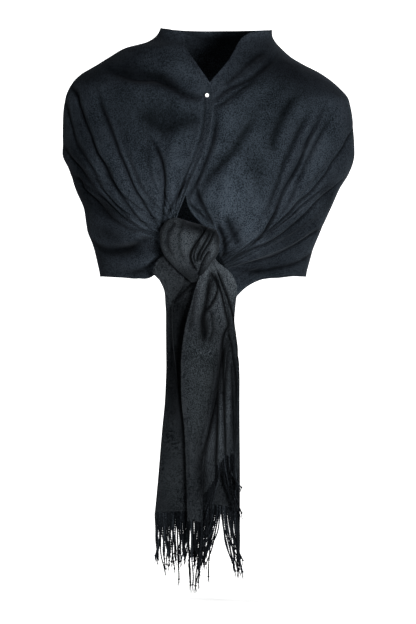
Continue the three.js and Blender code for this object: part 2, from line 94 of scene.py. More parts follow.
# A fold's section, in half widths of its trough. core is the share of the depth that is in the narrow
# trough. A fold gets shallower as it narrows, down to the least share of its width, and where it ends it
# loses the share end_loss.
FOLD = {
    "core": 0.55, "shoulder": 3.4, "lip_out": 2.0, "lip_width": 1.4, "least": 0.3, "end_loss": 0.5,
    # Its painted shade starts at dark, would be one more after dark_depth mm and stops at darkest. Of this,
    # near is on the line and wide around it. From the share end on, it loses up to end_light towards the
    # fold's end, and lip_light makes a painted highlight along the lip, which grows with the lip up to
    # lip_most mm.
    "dark": 0.44, "dark_depth": 11, "darkest": 0.95, "near": 0.8, "wide": 0.24, "wide_reach": 4,
    "end": 0.84, "end_light": 0.4, "lip_light": 0.16, "lip_most": 3,
}
FADE = {"fronts": (0.3, 0.06), "ends": (0.04, 0.04)}  # shares of a fold's length over which it fades
LINE_STEPS = 6  # straight steps of a fold's line between two of its points

# Where each form of the cape begins and is full, from the side (0) to the knot (1), or from the side to
# the middle of the back for the swags. The rolled hem fades and is gone there.
TOWARDS = {
    "swags": (0.02, 0.3), "band": (0.5, 0.66), "hem": (0.75, 1), "gathers": (0.7, 0.9),
    "crossed": (0.15, 0.35), "pull": (0.6, 0.9),
}
# The same down the cloth, where the crossing and the pull fade and are gone
DOWN = {"gathers": (0.05, 0.15), "crossed": (0.06, 0.2), "pull": (0.7, 0.95)}
# How squarely the surface has to face the front, or up, for a form or a shade to begin and to be full.
# The knot's rim and the cape's outline are where it faces the front less.
FACING = {
    "hollows": (0, 0.3), "up": (0.15, 0.75), "outline": (0.12, 0.6), "knot_rim": (0.1, 0.75),
    "knot_folds": (0.05, 0.35),
}
# Painted shade: DEEP_SHADE is the least share of the cloth's colour it leaves, and UP_SHADE how much of it
# falls on what faces up.
DEEP_SHADE = 0.16  # share of the cloth's colour left at the bottom of the deepest folds
UP_SHADE = 0.5
SIDE_FOLDS = 0.15  # share of the folds' depth left on the outline

# A soft unevenness of all cloth: sines with these turns along X, Y and Z
UNEVEN_WAVES = [(1.7, 0, 0.6), (-0.9, 1.3, 1.1), (-0.7, 2.3, 1.9)]
UNEVEN_CAPE = [{"height": 0.7, "scale": 34, "phase": 0.4}, {"height": 0.25, "scale": 11, "phase": 2.1}]
UNEVEN_KNOT = {"height": 0.5, "scale": 14, "phase": 1.7}
# The tails are held at the top, so theirs grows down the cloth: first back and forth, then sideways.
UNEVEN_TAIL = [
    {"axis": 1, "height": 0.8, "scale": 40, "phase": 0, "down": (0.1, 0.5)},
    {"axis": 0, "height": 0.6, "scale": 55, "phase": 1, "down": (0.2, 0.6)},
]

# How fine each mesh is
CAPE = {"courses": 156, "front": 124, "back": 56}
KNOT_GRID = {"across": 210, "around": 250}
TAIL_GRID = {"across": 180, "down": 150}

# Colours and surfaces
CLOTH_DARK = (0.0019, 0.0026, 0.0036)
CLOTH_LIGHT = (0.0156, 0.0197, 0.0246)
ENDS_DARK = (0.0015, 0.0020, 0.0026)
ENDS_LIGHT = (0.0180, 0.0209, 0.0234)
YARN_DARK = (0.0008, 0.0011, 0.0014)
YARN_LIGHT = (0.0064, 0.0077, 0.0092)
CLOTH_ROUGHNESS = 0.75
YARN_ROUGHNESS = 0.8
CLOTH_LOOK = {
    "Specular IOR Level": 0.0, "Sheen Weight": 0.02, "Sheen Roughness": 0.35,
    "Sheen Tint": (0.78, 0.88, 1.0, 1),
}
GRAIN = {"Scale": 680.0, "Detail": 2.0, "Roughness": 0.7}
PATCHES = {"Scale": 26.0, "Detail": 3.0, "Roughness": 0.6}
TWILL = {"Scale": 330.0, "Distortion": 1.2, "Detail": 1.0}
MOTTLE = {"grain": 0.82, "patches": 0.18, "low": 0.425, "high": 0.575}
WEAVE_BUMP = {"Strength": 0.35, "Distance": 0.0002}
NAP_BUMP = {"Strength": 0.3, "Distance": 0.0006}
PEARL_LOOK = {"Roughness": 0.22, "Coat Weight": 0.6, "Coat Roughness": 0.08}
# The pearl's painted sheen: its colour runs from cream where it faces the eye to rose at its edge.
PEARL_EDGE = {"Blend": 0.35}
PEARL_CREAM = (0.86, 0.85, 0.81)
PEARL_ROSE = (0.72, 0.68, 0.7)
STEEL_LOOK = {"Metallic": 1.0, "Base Color": (0.75, 0.74, 0.72, 1)}
STEEL_SCRATCHES = {"Scale": 900.0, "Detail": 2.0}
STEEL_ROUGHNESS = (0.22, 0.36)
STAGE_LOOK = {"Roughness": 0.9, "Specular IOR Level": 0.1}
FLOOR_GAP = 0.012
WORLD_LIGHT = 0.7
CAMERA = {"distance": 18.0, "x": -0.0015, "z": -0.378, "frame_height": 0.934, "front": -0.03, "sensor": 24.0}

# The form that the cloth takes over the shoulders: level ellipses, one for each height
BODY_COLUMNS = ("height", "right", "left", "front", "back")
BODY = [
    (48, 72, 93, 62, 60),
    (36, 80, 95, 67, 66),
    (27, 93, 100, 71, 74),
    (18, 126, 108, 76, 82),
    (6, 148, 121, 83, 91),
    (-6, 167, 140, 90, 98),
    (-22, 193, 169, 97, 106),
    (-40, 209, 193, 104, 112),
    (-60, 216, 210, 110, 116),
    (-90, 219, 216, 118, 120),
    (-140, 220, 218, 127, 122),
    (-165, 210, 212, 129, 121),
    (-195, 200, 195, 130, 118),
    (-225, 188, 182, 129, 114),
    (-255, 183, 168, 127, 110),
    (-285, 172, 156, 124, 106),
    (-325, 163, 145, 118, 101),
]
NECK_BACK = 44
HEM_BACK = -320

# Courses run along the cloth, from its top edge (0) to its lower edge (1). side is the height at which
# a course crosses the side of the body, and the stations are (x, z) places on its way to the knot.
STATIONS = ("collar", "yoke", "breast", "chest", "waist", "knot")
FRONT_COLUMNS = ("course", "side", *STATIONS)
RIGHT_FRONT = [
    (0, 48, (-51, 42), (-36, 17), (-3, -30), (6, -76), (-10, -148), (-48, -238)),
    (0.1, 26, (-82, 20), (-58, -2), (-36, -44), (-28, -92), (-32, -152), (-50, -240)),
    (0.2, 8, (-118, 2), (-90, -16), (-72, -58), (-67, -112), (-66, -170), (-51, -245)),
    (0.3, -10, (-152, -18), (-126, -34), (-107, -76), (-98, -126), (-88, -184), (-52, -249)),
    (0.39, -28, (-184, -36), (-162, -55), (-145, -96), (-131, -138), (-106, -198), (-53, -253)),
    (0.48, -50, (-207, -58), (-192, -80), (-176, -114), (-157, -150), (-126, -208), (-54, -257)),
    (0.56, -92, (-214, -100), (-202, -118), (-187, -142), (-167, -172), (-130, -221), (-55, -262)),
    (0.64, -130, (-214, -138), (-206, -152), (-192, -170), (-170, -192), (-129, -233), (-56, -266)),
    (0.72, -172, (-201, -179), (-195, -188), (-180, -200), (-158, -216), (-122, -245), (-57, -270)),
    (0.79, -208, (-187, -214), (-181, -222), (-165, -233), (-146, -244), (-116, -257), (-57, -275)),
    (0.9, -270, (-172, -274), (-166, -280), (-150, -288), (-132, -290), (-106, -282), (-56, -282)),
    (1, -325, (-160, -325), (-148, -326), (-128, -327), (-108, -328), (-86, -326), (-60, -302)),
]
LEFT_FRONT = [
    (0, 45, (60, 39), (33, 4), (-8, -48), (-18, -134), (-33, -214), (4, -264)),
    (0.1, 12, (99, 2), (62, -16), (26, -74), (6, -146), (-6, -214), (6, -274)),
    (0.2, -12, (128, -24), (94, -44), (64, -104), (42, -172), (26, -234), (12, -284)),
    (0.31, -36, (164, -50), (134, -66), (106, -124), (78, -190), (52, -250), (16, -293)),
    (0.4, -66, (193, -76), (167, -94), (141, -144), (109, -206), (76, -262), (19, -300)),
    (0.56, -134, (208, -146), (192, -158), (168, -186), (136, -222), (88, -262), (21, -306)),
    (0.66, -186, (193, -196), (180, -204), (157, -225), (126, -250), (82, -279), (23, -310)),
    (0.83, -252, (163, -260), (152, -268), (132, -280), (106, -292), (68, -306), (25, -315)),
    (1, -325, (138, -325), (126, -325), (106, -327), (82, -329), (56, -341), (32, -364)),
]

# Folds of the fronts, as the eye follows them. Their columns are
# path: (x, z) points on the front,
# depth: how far the cloth dips along it,
# width: its half width at both ends,
# lip: how far its overhanging side stands out, + on the left of the direction of travel as it is looked
# at and - on the right,
# behind: where the fold goes on round the side, as (degrees past the side, height), far end first.
RIGHT_FOLDS = [
    ([(-158, -6), (-138, -16), (-110, -28), (-80, -27), (-58, -39), (-38, -52), (-14, -58)], 9, (8, 5), 4),
    ([(-118, -80), (-94, -87), (-76, -100), (-62, -105), (-44, -98), (-14, -87)], 3, (13, 10), 0),
    ([(-98, -104), (-84, -124), (-73, -146), (-68, -164), (-66, -184), (-67, -206), (-69, -232),
     (-70, -255)], 6, (2.6, 1.6), 1.8),
    ([(-176, -27), (-168, -48), (-159, -78), (-148, -105), (-135, -140), (-124, -166), (-112, -194),
     (-97, -218), (-84, -240), (-72, -256)], 8, (3.2, 1.4), 2),
    ([(-201, -48), (-194, -69), (-184, -96), (-174, -122), (-164, -150), (-152, -174), (-141, -192),
     (-126, -214), (-110, -234), (-92, -252), (-75, -262)], 8, (4.6, 1.5), 2.4, [(25, -12), (8, -30)]),
    ([(-214, -68), (-208, -93), (-200, -122), (-188, -144), (-172, -170), (-158, -195), (-141, -216),
     (-122, -237), (-102, -254), (-80, -266)], 5, (5, 1.6), 2, [(36, -30), (14, -50)]),
    ([(-214, -136), (-194, -168), (-176, -189), (-158, -208), (-140, -226), (-118, -244), (-94, -260),
     (-78, -267)], 6, (6, 1.8), 2, [(50, -84), (22, -112)]),
    ([(-206, -172), (-184, -190), (-164, -206), (-142, -225), (-122, -243), (-98, -258), (-78, -268)],
     4, (4, 1.6), 1.2, [(44, -128), (16, -154)]),
    ([(-200, -178), (-186, -200), (-170, -217), (-154, -232), (-138, -244), (-120, -253), (-97, -257),
     (-76, -262)], 11, (7, 1.7), 2, [(60, -160), (26, -178)]),
    ([(-174, -274), (-165, -282), (-152, -288), (-136, -288), (-118, -282), (-100, -272), (-86, -266)],
     6, (7, 5), 3, [(46, -262), (14, -268)]),
    ([(-128, -327), (-117, -322), (-94, -312), (-74, -297), (-60, -288)], 3, (3, 2), 1.5),
    ([(-84, -262), (-78, -274), (-72, -288), (-60, -304)], 2.5, (2.5, 3), 1),
    ([(-26, -171), (-39, -192), (-52, -214), (-64, -237)], 3, (1.8, 1.8), 1),
]
LEFT_FOLDS = [
    ([(102, 9), (93, -2), (78, -16), (56, -33), (25, -46), (6, -62)], 8, (3.6, 2.2), -4),
    ([(80, -27), (56, -40), (34, -56), (20, -66), (4, -74)], 5, (2.6, 1.8), -1.6),
    ([(92, 15), (74, 6), (57, -8), (40, -24), (22, -39)], 3, (5, 3.5), 0),
    ([(183, -51), (176, -64), (170, -78), (159, -102), (148, -123), (141, -144), (134, -160), (118, -188),
     (108, -208), (100, -230), (90, -248), (78, -266), (56, -285), (34, -298)], 10, (2.6, 1.3), 2.6),
    ([(142, -45), (126, -60), (112, -81), (99, -111), (92, -142)], 3.6, (8, 7), 0),
    ([(158, -62), (140, -99), (124, -132), (110, -162), (100, -195), (88, -228)], 4.2, (6, 4), 0),
    ([(212, -111), (201, -132), (186, -154), (173, -176), (154, -198), (134, -216), (122, -230),
     (104, -245), (78, -264), (56, -280), (38, -294)], 6.5, (2.8, 1.3), -2.2, [(44, -62), (18, -84)]),
    ([(196, -75), (178, -96), (160, -126), (146, -156), (134, -183), (122, -210), (106, -234)],
     3.4, (4, 2.4), 0),
    ([(206, -174), (198, -182), (170, -208), (147, -232), (124, -250), (101, -267), (81, -278), (60, -286),
     (34, -300)], 8, (3, 1.5), -2.4, [(50, -116), (20, -146)]),
    ([(188, -180), (154, -207), (136, -222), (122, -236), (99, -254), (80, -268)], 4, (1.8, 1.3), -1.4),
    ([(176, -249), (154, -262), (124, -282), (93, -297), (62, -304), (32, -310)], 6, (6, 2),
     -1.8, [(48, -212), (18, -232)]),
    ([(164, -285), (136, -303), (106, -312), (69, -318), (44, -315)], 4.5, (5, 3), -1, [(40, -262),
     (12, -274)]),
    ([(80, -72), (58, -102), (38, -135), (14, -162), (-9, -186)], 3.6, (7, 5), 0),
    ([(24, -230), (33, -252), (45, -279)], 3, (5, 5), 0),
    ([(-22, -184), (-15, -208), (-4, -231), (6, -249)], 7, (3.2, 1.6), 1.8),
    ([(6, -64), (11, -84), (8, -112), (0, -140), (-9, -164), (-20, -188), (-33, -212)], 4, (2, 2.4), 0),
    ([(10, -240), (16, -254), (22, -268), (24, -284), (20, -298)], 6, (3, 3), -1),
    ([(-34, -204), (-26, -219), (-10, -234), (4, -246)], 3, (1.8, 1.8), 1),
]

# Soft hollows of the fronts, some of them raised swells (dip below 0), and with dip 0 patches of painted
# shade or painted highlight alone: where they are, their half sizes, how many degrees they are turned, how
# far the cloth dips and the share of its colour that is left there, as painted shade below 1 and painted
# highlight above 1.
HOLLOWS = [
    # x, z, half_x, half_z, slant, dip, light
    (-90, -23, 52, 12, -18, 6, 0.24),
    (-66, -84, 42, 15, -14, 5, 0.7),
    (70, -36, 64, 40, 0, 0, 0.8),
    (-120, -60, 60, 40, 0, 0, 0.85),
    (-196, -110, 22, 60, 10, 0, 0.75),
    (-92, 2, 46, 12, -30, -3, 1),
    (-152, -168, 20, 14, -50, 5, 0.85),
    (-160, -222, 34, 15, -38, 8, 0.24),
    (-150, -120, 12, 34, 24, -3, 1),
    (-130, -286, 36, 10, -4, 7, 0.4),
    (-196, -168, 9, 26, 22, 4, 0.6),
    (-120, -306, 40, 7, 6, -4, 1),
    (88, -60, 40, 9, 42, 3.5, 0.75),
    (20, -146, 36, 10, 42, 4, 0.78),
    (58, -28, 38, 7, 34, -4, 1),
    (126, -170, 42, 10, 62, 3, 0.85),
    (44, -190, 34, 26, 0, -4, 1),
    (146, -128, 40, 8, 62, -3, 1),
    (36, -262, 12, 22, -10, 4, 0.7),
    (150, -240, 44, 12, 36, 3, 0.75),
    (120, -262, 50, 7, 30, -3, 1),
    (-10, -196, 7, 26, -24, 4, 0.55),
    (34, -186, 34, 44, 0, 0, 1.22),
    (72, -160, 20, 36, 10, 3, 0.56),
    (150, -60, 40, 24, -36, 0, 0.74),
    (-172, -28, 30, 18, 30, 0, 0.64),
    (-160, -300, 16, 26, 0, 0, 0.62),
    (32, -302, 22, 16, 0, 0, 0.62),
    (190, -150, 26, 60, -16, 0, 0.7),
    (120, -270, 50, 26, 22, 0, 0.5),
    (180, -205, 18, 26, 0, 0, 0.54),
    (-194, -150, 20, 42, 14, 0, 0.5),
    (-150, -262, 26, 14, -20, 0, 0.4),
    (-92, -258, 20, 12, -34, 0, 1.3),
    (-92, -142, 15, 38, 14, 0, 0.68),
    (104, -92, 36, 26, -30, 0, 0.78),
    (-46, -234, 14, 20, 0, 0, 1.35),
    (-152, -96, 58, 58, 0, 0, 0.62),
    (-188, -205, 14, 46, 20, 0, 0.36),
    (66, -262, 26, 24, 0, 0, 1.35),
    (34, -236, 24, 26, 0, 0, 1.2),
    (-70, -206, 20, 34, 10, 0, 1.15),
    (62, -12, 40, 6, 38, -2, 1.2),
    (138, -118, 60, 6, 62, -3, 1.25),
    (-52, -200, 5, 44, 14, -1.5, 1.25),
    (-128, -236, 40, 6, -38, -3, 1.2),
    (-110, -320, 60, 14, 0, 2, 0.65),
    (84, -316, 80, 22, 0, 2, 0.44),
    (120, -20, 70, 26, -30, 0, 0.62),
    (-60, -70, 70, 30, 0, 0, 0.78),
]

# Folds across the back hang between the shoulders as shallow swags.
BACK_FOLDS = [
    {"course": 0.2, "sag": 10, "fold": 3},
    {"course": 0.36, "sag": 22, "fold": 4},
    {"course": 0.52, "sag": 30, "fold": 4.5},
    {"course": 0.68, "sag": 26, "fold": 4},
    {"course": 0.84, "sag": 14, "fold": 3.5},
]

# The knot from the front: at each share of the way down it runs from its left to its right outline.
KNOT_DOWN = [
    (0, (-66, -245), (12, -256)),
    (0.25, (-74, -262), (17, -272)),
    (0.5, (-71, -284), (15, -288)),
    (0.75, (-56, -307), (3, -306)),
    (1, (-26, -334), (-14, -330)),
]
KNOT = {
    "middle": -141, "front": 36, "back": 28, "end": 0.006, "light": 1.18,
    # Painted shade: its rim is painted darker, less so on the left, and the cloth over it at the top as if in
    # the fronts' shade. light is painted light over the whole knot.
    "rim_shade": 0.65, "left_rim": 0.35, "rim_from": (0.2, 0.6),
    "top_shade": 0.6, "top_band": 9, "top_from": (0.25, 0.5),
}
KNOT_RISE = [(0, 0), (0.1, 6), (0.22, 10), (0.35, 8.5), (0.5, 6.5), (0.74, 3.5), (0.9, 1.5), (1, 0)]
# The folds and hollows of the knot and the tails have the same columns as those of the fronts.
KNOT_FOLDS = [
    ([(-4, -250), (-10, -261), (-21, -278), (-27, -291), (-28, -300), (-25, -309), (-20, -318)],
     9, (1.7, 2.1), 3),
    ([(-14, -273), (-20, -285), (-23, -297), (-20, -308)], 4, (1.2, 1.3), 1.6),
    ([(2, -258), (-3, -270), (-11, -284), (-16, -294), (-18, -306)], 6, (1.4, 1.5), 2),
    ([(8, -258), (4, -270), (-4, -283), (-10, -293), (-13, -304)], 6, (1.4, 1.5), 2.4),
    ([(3, -288), (-3, -298), (-7, -307), (-10, -317), (-14, -327)], 9, (1.6, 2.2), 3),
    ([(-50, -243), (-57, -253), (-62, -266), (-62, -280), (-55, -296)], 1.6, (3, 3), -1.6),
    ([(-36, -240), (-41, -252), (-45, -268), (-43, -286), (-37, -302)], 0.6, (3, 3), 0.5),
]
KNOT_HOLLOWS = [
    (-27, -324, 16, 12, -40, 0, 0.45),
    (5, -292, 4, 12, -24, -1.5, 1.3),
    (-8, -250, 28, 9, -16, 1, 0.42),
    (13, -268, 4, 14, 10, 0, 0.6),
    (-44, -272, 16, 20, 0, 0, 1.12),
]

# The tails: each row is one level of the cloth, from the top down. The points are places across the
# cloth at which it turns or swells: x, and how far forward of the tail's own depth.
# hem is the height of the lower edge at each of the same places. light is painted shade over the whole
# tail, and top_light painted light towards its top.
FRONT_TAIL = {
    "depth": [(-290, -138), (-312, -145), (-340, -149), (-390, -150), (-430, -149), (-500, -147),
              (-600, -145), (-700, -144)],
    "levels": [-290, -303, -322, -345, -368, -390, -412, -435, -458, -488, -510, -555, -600, -645, -700],
    "x": [
        (-14, -12, -10, -8, -6, -4, -5, -3, -3, -1, -1, 4, 3),
        (-8, -5, -3, -1, 1.5, 4, 3, 5, 4.5, 8, 7.5, 12, 10),
        (-13, -9, -6, 1, 7.5, 11.5, 10, 12.5, 12, 16, 15, 33, 28),
        (-21, -16, -10, -1.5, 8, 19, 17.5, 20, 18.5, 24, 23, 41, 36),
        (-27, -21, -15, -5, 4, 24, 21, 24.5, 23, 30, 28, 39, 34),
        (-33, -25, -19, -9, 1.5, 27, 23, 28, 26.5, 34, 31.5, 37.5, 34),
        (-37.5, -28, -19.5, -7.5, 6, 26, 22, 28, 27, 35.5, 33, 40, 37),
        (-40.5, -28, -18, -7.5, 4.5, 18, 13, 20, 19, 26, 24, 42, 38),
        (-42, -28, -18, -7.5, 4.5, 15, 10, 17, 15.5, 24, 22, 42, 38),
        (-42, -28, -18, -7.5, 3, 12.5, 6, 15, 13, 22, 20, 41, 37),
        (-41, -28, -19, -10, -1.5, 8.5, 1.5, 12, 9.5, 22, 19, 40.5, 36),
        (-36.5, -28, -22, -15, -8, -2, -9, 10, 6, 22, 17.5, 40, 35),
        (-34.5, -29, -24, -19, -13.5, -8, -15, 8, 3.5, 21, 16, 37.5, 33),
        (-33, -28, -24, -19.5, -15, -10, -16.5, 7, 3, 20, 15, 35, 31),
        (-31.5, -27, -22.5, -18, -13.5, -10, -16.5, 6, 2, 19, 15, 34, 31),
    ],
    "forward": [
        (0, 0, 0, 0, 1, 1, 0, 1, 0, 1, 0, 0, -1),
        (0, 1, 1, 0, 2, 2, 0, 2, 0, 2, 0, 1, -2),
        (1, 2.5, 3, -1, 4, 4, -1, 3, -1, 3, -1, 2, -3),
        (1, 3, 4, -3, 5, 5, -2, 3.5, -2, 3.5, -2, 3, -3),
        (1, 3, 4, -4, 4.5, 5, -3, 3, -3, 3, -3, 3, -3),
        (1, 3, 3, -5, 3, 5, -4, 2, -4, 2, -4, 2, -4),
        (1.5, 3.5, 2, -5, 2, 5, -4, 1, -4, 2, -4, 2, -5),
        (2, 4, 4, 3, 4, 5, -5, 0, -5, 2, -5, 3, -6),
        (2, 4, 4, 4, 4.5, 5.5, -6, 0, -6, 2, -6, 3, -6),
        (2, 3.5, 3.5, 3.5, 4, 5.5, -6, 0, -6, 1.5, -6, 3, -6),
        (1.5, 3, 3, 3, 3.5, 5, -6, 1, -6, 1.5, -6, 3, -6),
        (1, 3, 3, 3, 3.5, 4.5, -6, 2, -6, 1.5, -6, 3, -6),
        (1, 3, 2.5, 3, 3.5, 4, -6, 2.5, -6, 1.5, -6, 3, -6),
        (1, 3, 2, 3, 3, 3.5, -5, 2, -5, 1.5, -5, 2, -5),
        (1, 2.5, 1.5, 2.5, 2.5, 3, -4, 1.5, -4, 1, -4, 1.5, -4),
    ],
    "hem": (-690, -690, -690, -691, -691, -690, -668, -628, -614, -598, -594, -590, -590),
    "light": 0.62,
    "top_light": 1.25,
    "phase": 0.3,
    "folds": [
        ([(2, -318), (10, -333), (12, -348), (2, -369), (-9, -380)], 5, (2, 2.4), 1.6),
        ([(2, -375), (5, -392), (5, -408), (-1, -424)], 3, (2, 2.4), -2),
        ([(6, -316), (15, -340), (20, -358), (25, -382), (28, -398), (21, -414), (17, -449), (13, -483),
         (9, -509), (0, -555), (-12, -598)], 8, (1.8, 2.6), -2.4),
        ([(12, -316), (23, -345), (31, -369), (38, -394), (42, -423), (44, -456)], 6, (1.6, 1.8), 2),
        ([(28, -407), (33, -426), (36, -449), (40, -475), (41, -508), (41, -545), (40, -585)],
         6, (1.4, 1.8), 2),
        ([(22, -430), (21, -460), (21.5, -491), (22.5, -530), (24, -562), (24, -596)], 6, (1.5, 1.6), 2.4),
        ([(12, -492), (12, -530), (11, -572), (9, -606)], 6, (1.4, 1.8), 2.4),
        ([(33, -450), (34, -491), (36, -540), (37, -585)], 3, (1.3, 1.5), 1.6),
        ([(-18, -342), (-24, -372), (-28, -405)], 1.2, (3, 4), 0.8),
    ],
    "hollows": [
        (0, -340, 6, 19, -14, 3, 0.42),
        (-9, -402, 7, 18, 0, 4, 0.55),
        (4, -428, 20, 16, 0, 0, 1.3),
        (-8, -438, 20, 7, 0, -3, 1.3),
        (-22, -470, 12, 70, 4, 0, 1.12),
        (17, -540, 3.2, 60, 0, -2, 2.5),
        (28, -525, 3.6, 70, -3, -2, 2.1),
        (4, -560, 4.4, 44, -8, -2, 2),
        (24, -372, 16, 44, -14, 0, 1.35),
        (-4, -345, 8, 30, -10, 0, 1.3),
        (12, -490, 12, 64, -6, 0, 0.45),
        (38, -500, 7, 80, 0, 0, 0.48),
        (19, -350, 4, 24, -14, -2, 1.3),
        (-12, -622, 7, 56, 2, 4, 0.3),
        (-30, -640, 8, 60, 2, 0, 0.75),
    ],
}
REAR_TAIL = {
    "depth": [(-285, -130), (-305, -131), (-318, -132), (-350, -132), (-382, -131), (-455, -130),
              (-560, -129), (-700, -128)],
    "levels": [-285, -303, -318, -332, -350, -365, -383, -428, -455, -488, -510, -555, -615, -690],
    "x": [
        (-54, -52, -46, -47, -42, -36, -28, -20, -14),
        (-78, -64, -42, -43.5, -30, -20, -10, -2, 2),
        (-84, -66, -38, -40, -22, -10, 0, 8, 12),
        (-73, -60, -38, -40, -21, -8, 4, 14, 20),
        (-66, -56, -47, -48, -28, -10, 5, 18, 25),
        (-65, -57, -53.5, -52, -32, -12, 6, 20, 28),
        (-64, -59, -55.5, -53, -34, -12, 8, 24, 31),
        (-64, -59, -54.5, -51, -32, -8, 14, 33, 40),
        (-64, -59, -52, -48, -30, -6, 18, 38, 45),
        (-65, -59, -49, -45, -28, -6, 18, 38, 46),
        (-66, -58, -45, -41, -27, -6, 18, 38, 46),
        (-70, -58, -38, -34, -24, -6, 17, 38, 46),
        (-75, -60, -38, -32, -22, -5, 16, 38, 46),
        (-82, -64, -40, -32, -20, -4, 16, 37, 46),
    ],
    "forward": [
        (0, 1, 2, -3, -3, -2, -1, 0, 0),
        (0, 2, 4, -5, -6, -4, -2, 0, 0),
        (0, 3, 5, -7, -7, -4, -2, 0, 0),
        (0, 3, 5, -8, -8, -4, -2, 0, 0),
        (0, 3, 5, -8, -8, -4, -2, 0, 0),
        (0, 3, 5, -8, -8, -5, -2, 0, 0),
        (0, 3, 4.5, -8, -8, -5, -2, 0, 1),
        (0, 2.5, 4, -7, -7, -5, -2, 1, 2),
        (0, 2, 3.5, -6, -6, -5, -1, 2, 2),
        (0, 2, 3, -3, -5, -4, -1, 3, 2),
        (0, 1.5, 2.5, -1, -4, -4, -1, 3, 1),
        (0.5, 1.5, 2, 0.5, -2, -4, 0, 3, 1),
        (1, 1.5, 1.5, 1, -1, -3, 1, 3, 0),
        (1, 1, 1.5, 1, 0, -2, 1, 2, 0),
    ],
    "hem": (-678, -677, -676, -676, -676, -671, -667, -672, -680),
    "light": 0.41,
    "top_light": 0.6,
    "phase": 2.2,
    "folds": [
        ([(-24, -333), (-35, -345), (-50, -360), (-55, -368)], 4, (2.4, 2), 1.5),
        ([(-57, -366), (-56, -400), (-55, -440), (-53, -480)], 1.6, (3, 4), 1),
    ],
    "hollows": [
        (-41, -388, 11, 56, 3, 2, 0.42),
        (-52, -470, 12, 46, 0, 1, 0.55),
        (-74, -600, 8, 60, 4, 0, 0.8),
        (-58, -505, 18, 50, 0, 0, 0.46),
    ],
}
# behind and top are where the painted shade of what lies back begins and is full, and where the painted
# light at the top does. crowd_top is the power that puts more rows of the mesh near the top.
TAIL = {"behind": (0.8, 5.5), "neighbours": 22, "darkest": 0.112, "top": (-420, -320), "crowd_top": 1.2}

# The fringes: pairs of yarns twisted together, a small knot near the end of each and a loose tuft below.
STRAND = {
    "yarn": 0.8, "offset": 0.62, "pitch": 7, "sides": 6, "rings": 8, "ring_gap": 1.6, "taper": 0.12,
    "knot": 1.25, "knot_core": 0.35, "knot_half": 1.7, "knot_rings": 7, "knot_sides": 8,
    "wave_chance": 3, "twist_chance": 6,
}
STRAND_WAVES = [
    {"axis": 0, "size": 2.4, "turns": 3.1},
    {"axis": 0, "size": 1.2, "turns": 9},
    {"axis": 1, "size": 1.0, "turns": 4.3},
]
HAIR = {
    "count": 4, "rings": 6, "sides": 4, "spread": (2.6, 2.0), "bend": 1.4, "length": 12, "shortest": 0.6,
    "radius": 0.34, "taper": 0.7, "tip": 0.05,
}
TASSELS = {
    "margin": 0.006, "steps": 600, "root": 1.5, "sway": 4, "depth_sway": 2.5, "swing_step": 2.4,
    "part": 17, "part_reach": 16, "long_share": 0.08, "long": 1.22,
    "bright_share": 0.2, "bright": 1.7, "dim": (0.2, 0.7),
}
# A lock is a stretch of a fringe, up to a place across it, whose strands hang in bunches of so many.
FRONT_LOCKS = [
    {"until": -10, "bunch": 5, "gather": 1, "lean": 0, "swing": 4, "reach": 1.1},
    {"until": 100, "bunch": 4, "gather": 0.95, "lean": 0, "swing": 2, "reach": 0.95},
]
REAR_LOCKS = [
    {"until": -38, "bunch": 9, "gather": 0.16, "lean": 0, "swing": 1, "reach": 0.92},
    {"until": -12, "bunch": 8, "gather": 1, "lean": -2, "swing": 2, "reach": 0.85},
    {"until": 18, "bunch": 10, "gather": 0.85, "lean": -5, "swing": 2, "reach": 0.95},
    {"until": 100, "bunch": 8, "gather": 0.8, "lean": 2, "swing": 1, "reach": 1},
]
# Strands hang away from a parting on both sides.
FRINGES = {
    "front": {"count": 50, "length": 92, "seed": 3, "shortest": 0.5, "parting": 19, "locks": FRONT_LOCKS},
    "rear": {"count": 96, "length": 96, "seed": 8, "shortest": 0.6, "parting": 18, "locks": REAR_LOCKS},
}
# The pin's head is a ball that starts at the front of the CAD pin, with its shank's cup sunk into it.
PIN = {
    "x": -3, "z": -55, "head": 2.9, "pole": 0.02, "rings": 25, "head_sides": 40, "sunk": 0.7,
    "shank_sides": 24,
}
PIN_CUP = [(0.05, -0.5), (1.5, -0.4), (1.4, 0.2), (0.55, 0.4)]  # radius, and how far behind its start
PIN_POINT = [(0.55, 2.5), (0.3, 0.8), (0.04, 0)]  # radius, and how far before its end


def smooth(x, low, high):
    """An S from 0 at low to 1 at high."""
    u = np.clip((np.asarray(x, float) - low) / (high - low), 0, 1)
    return u * u * (3 - 2 * u)


def bell(x, width):
    """1 where x is 0, and close to 0 from two widths away."""
    return np.exp(-((x / width) ** 2))


def unit(vectors):
    return vectors / np.maximum(np.linalg.norm(vectors, axis=-1, keepdims=True), 1e-9)


def by_name(names, rows):
    """The columns of a table by their names."""
    return dict(zip(names, zip(*rows)))


def column(keys, values):
    """A smooth curve through a table's column that never overshoots its rows."""
    keys = np.asarray(keys, float)
    values = np.asarray(values, float)
    if keys[0] > keys[-1]:
        keys, values = keys[::-1], values[::-1]
    slopes = np.diff(values) / np.diff(keys)
    tangents = np.empty_like(values)
    tangents[0], tangents[-1] = slopes[0], slopes[-1]
    before, after = slopes[:-1], slopes[1:]
    same_way = before * after > 0
    tangents[1:-1] = np.where(same_way, 2 * before * after / np.where(same_way, before + after, 1), 0)

    def at(x):
        x = np.asarray(x, float)
        i = np.clip(np.searchsorted(keys, x) - 1, 0, len(keys) - 2)
        span = keys[i + 1] - keys[i]
        u = np.clip((x - keys[i]) / span, 0, 1)
        return (
            values[i] * (1 + 2 * u) * (1 - u) ** 2
            + tangents[i] * span * u * (1 - u) ** 2
            + values[i + 1] * u * u * (3 - 2 * u)
            + tangents[i + 1] * span * u * u * (u - 1)
        )

    return at


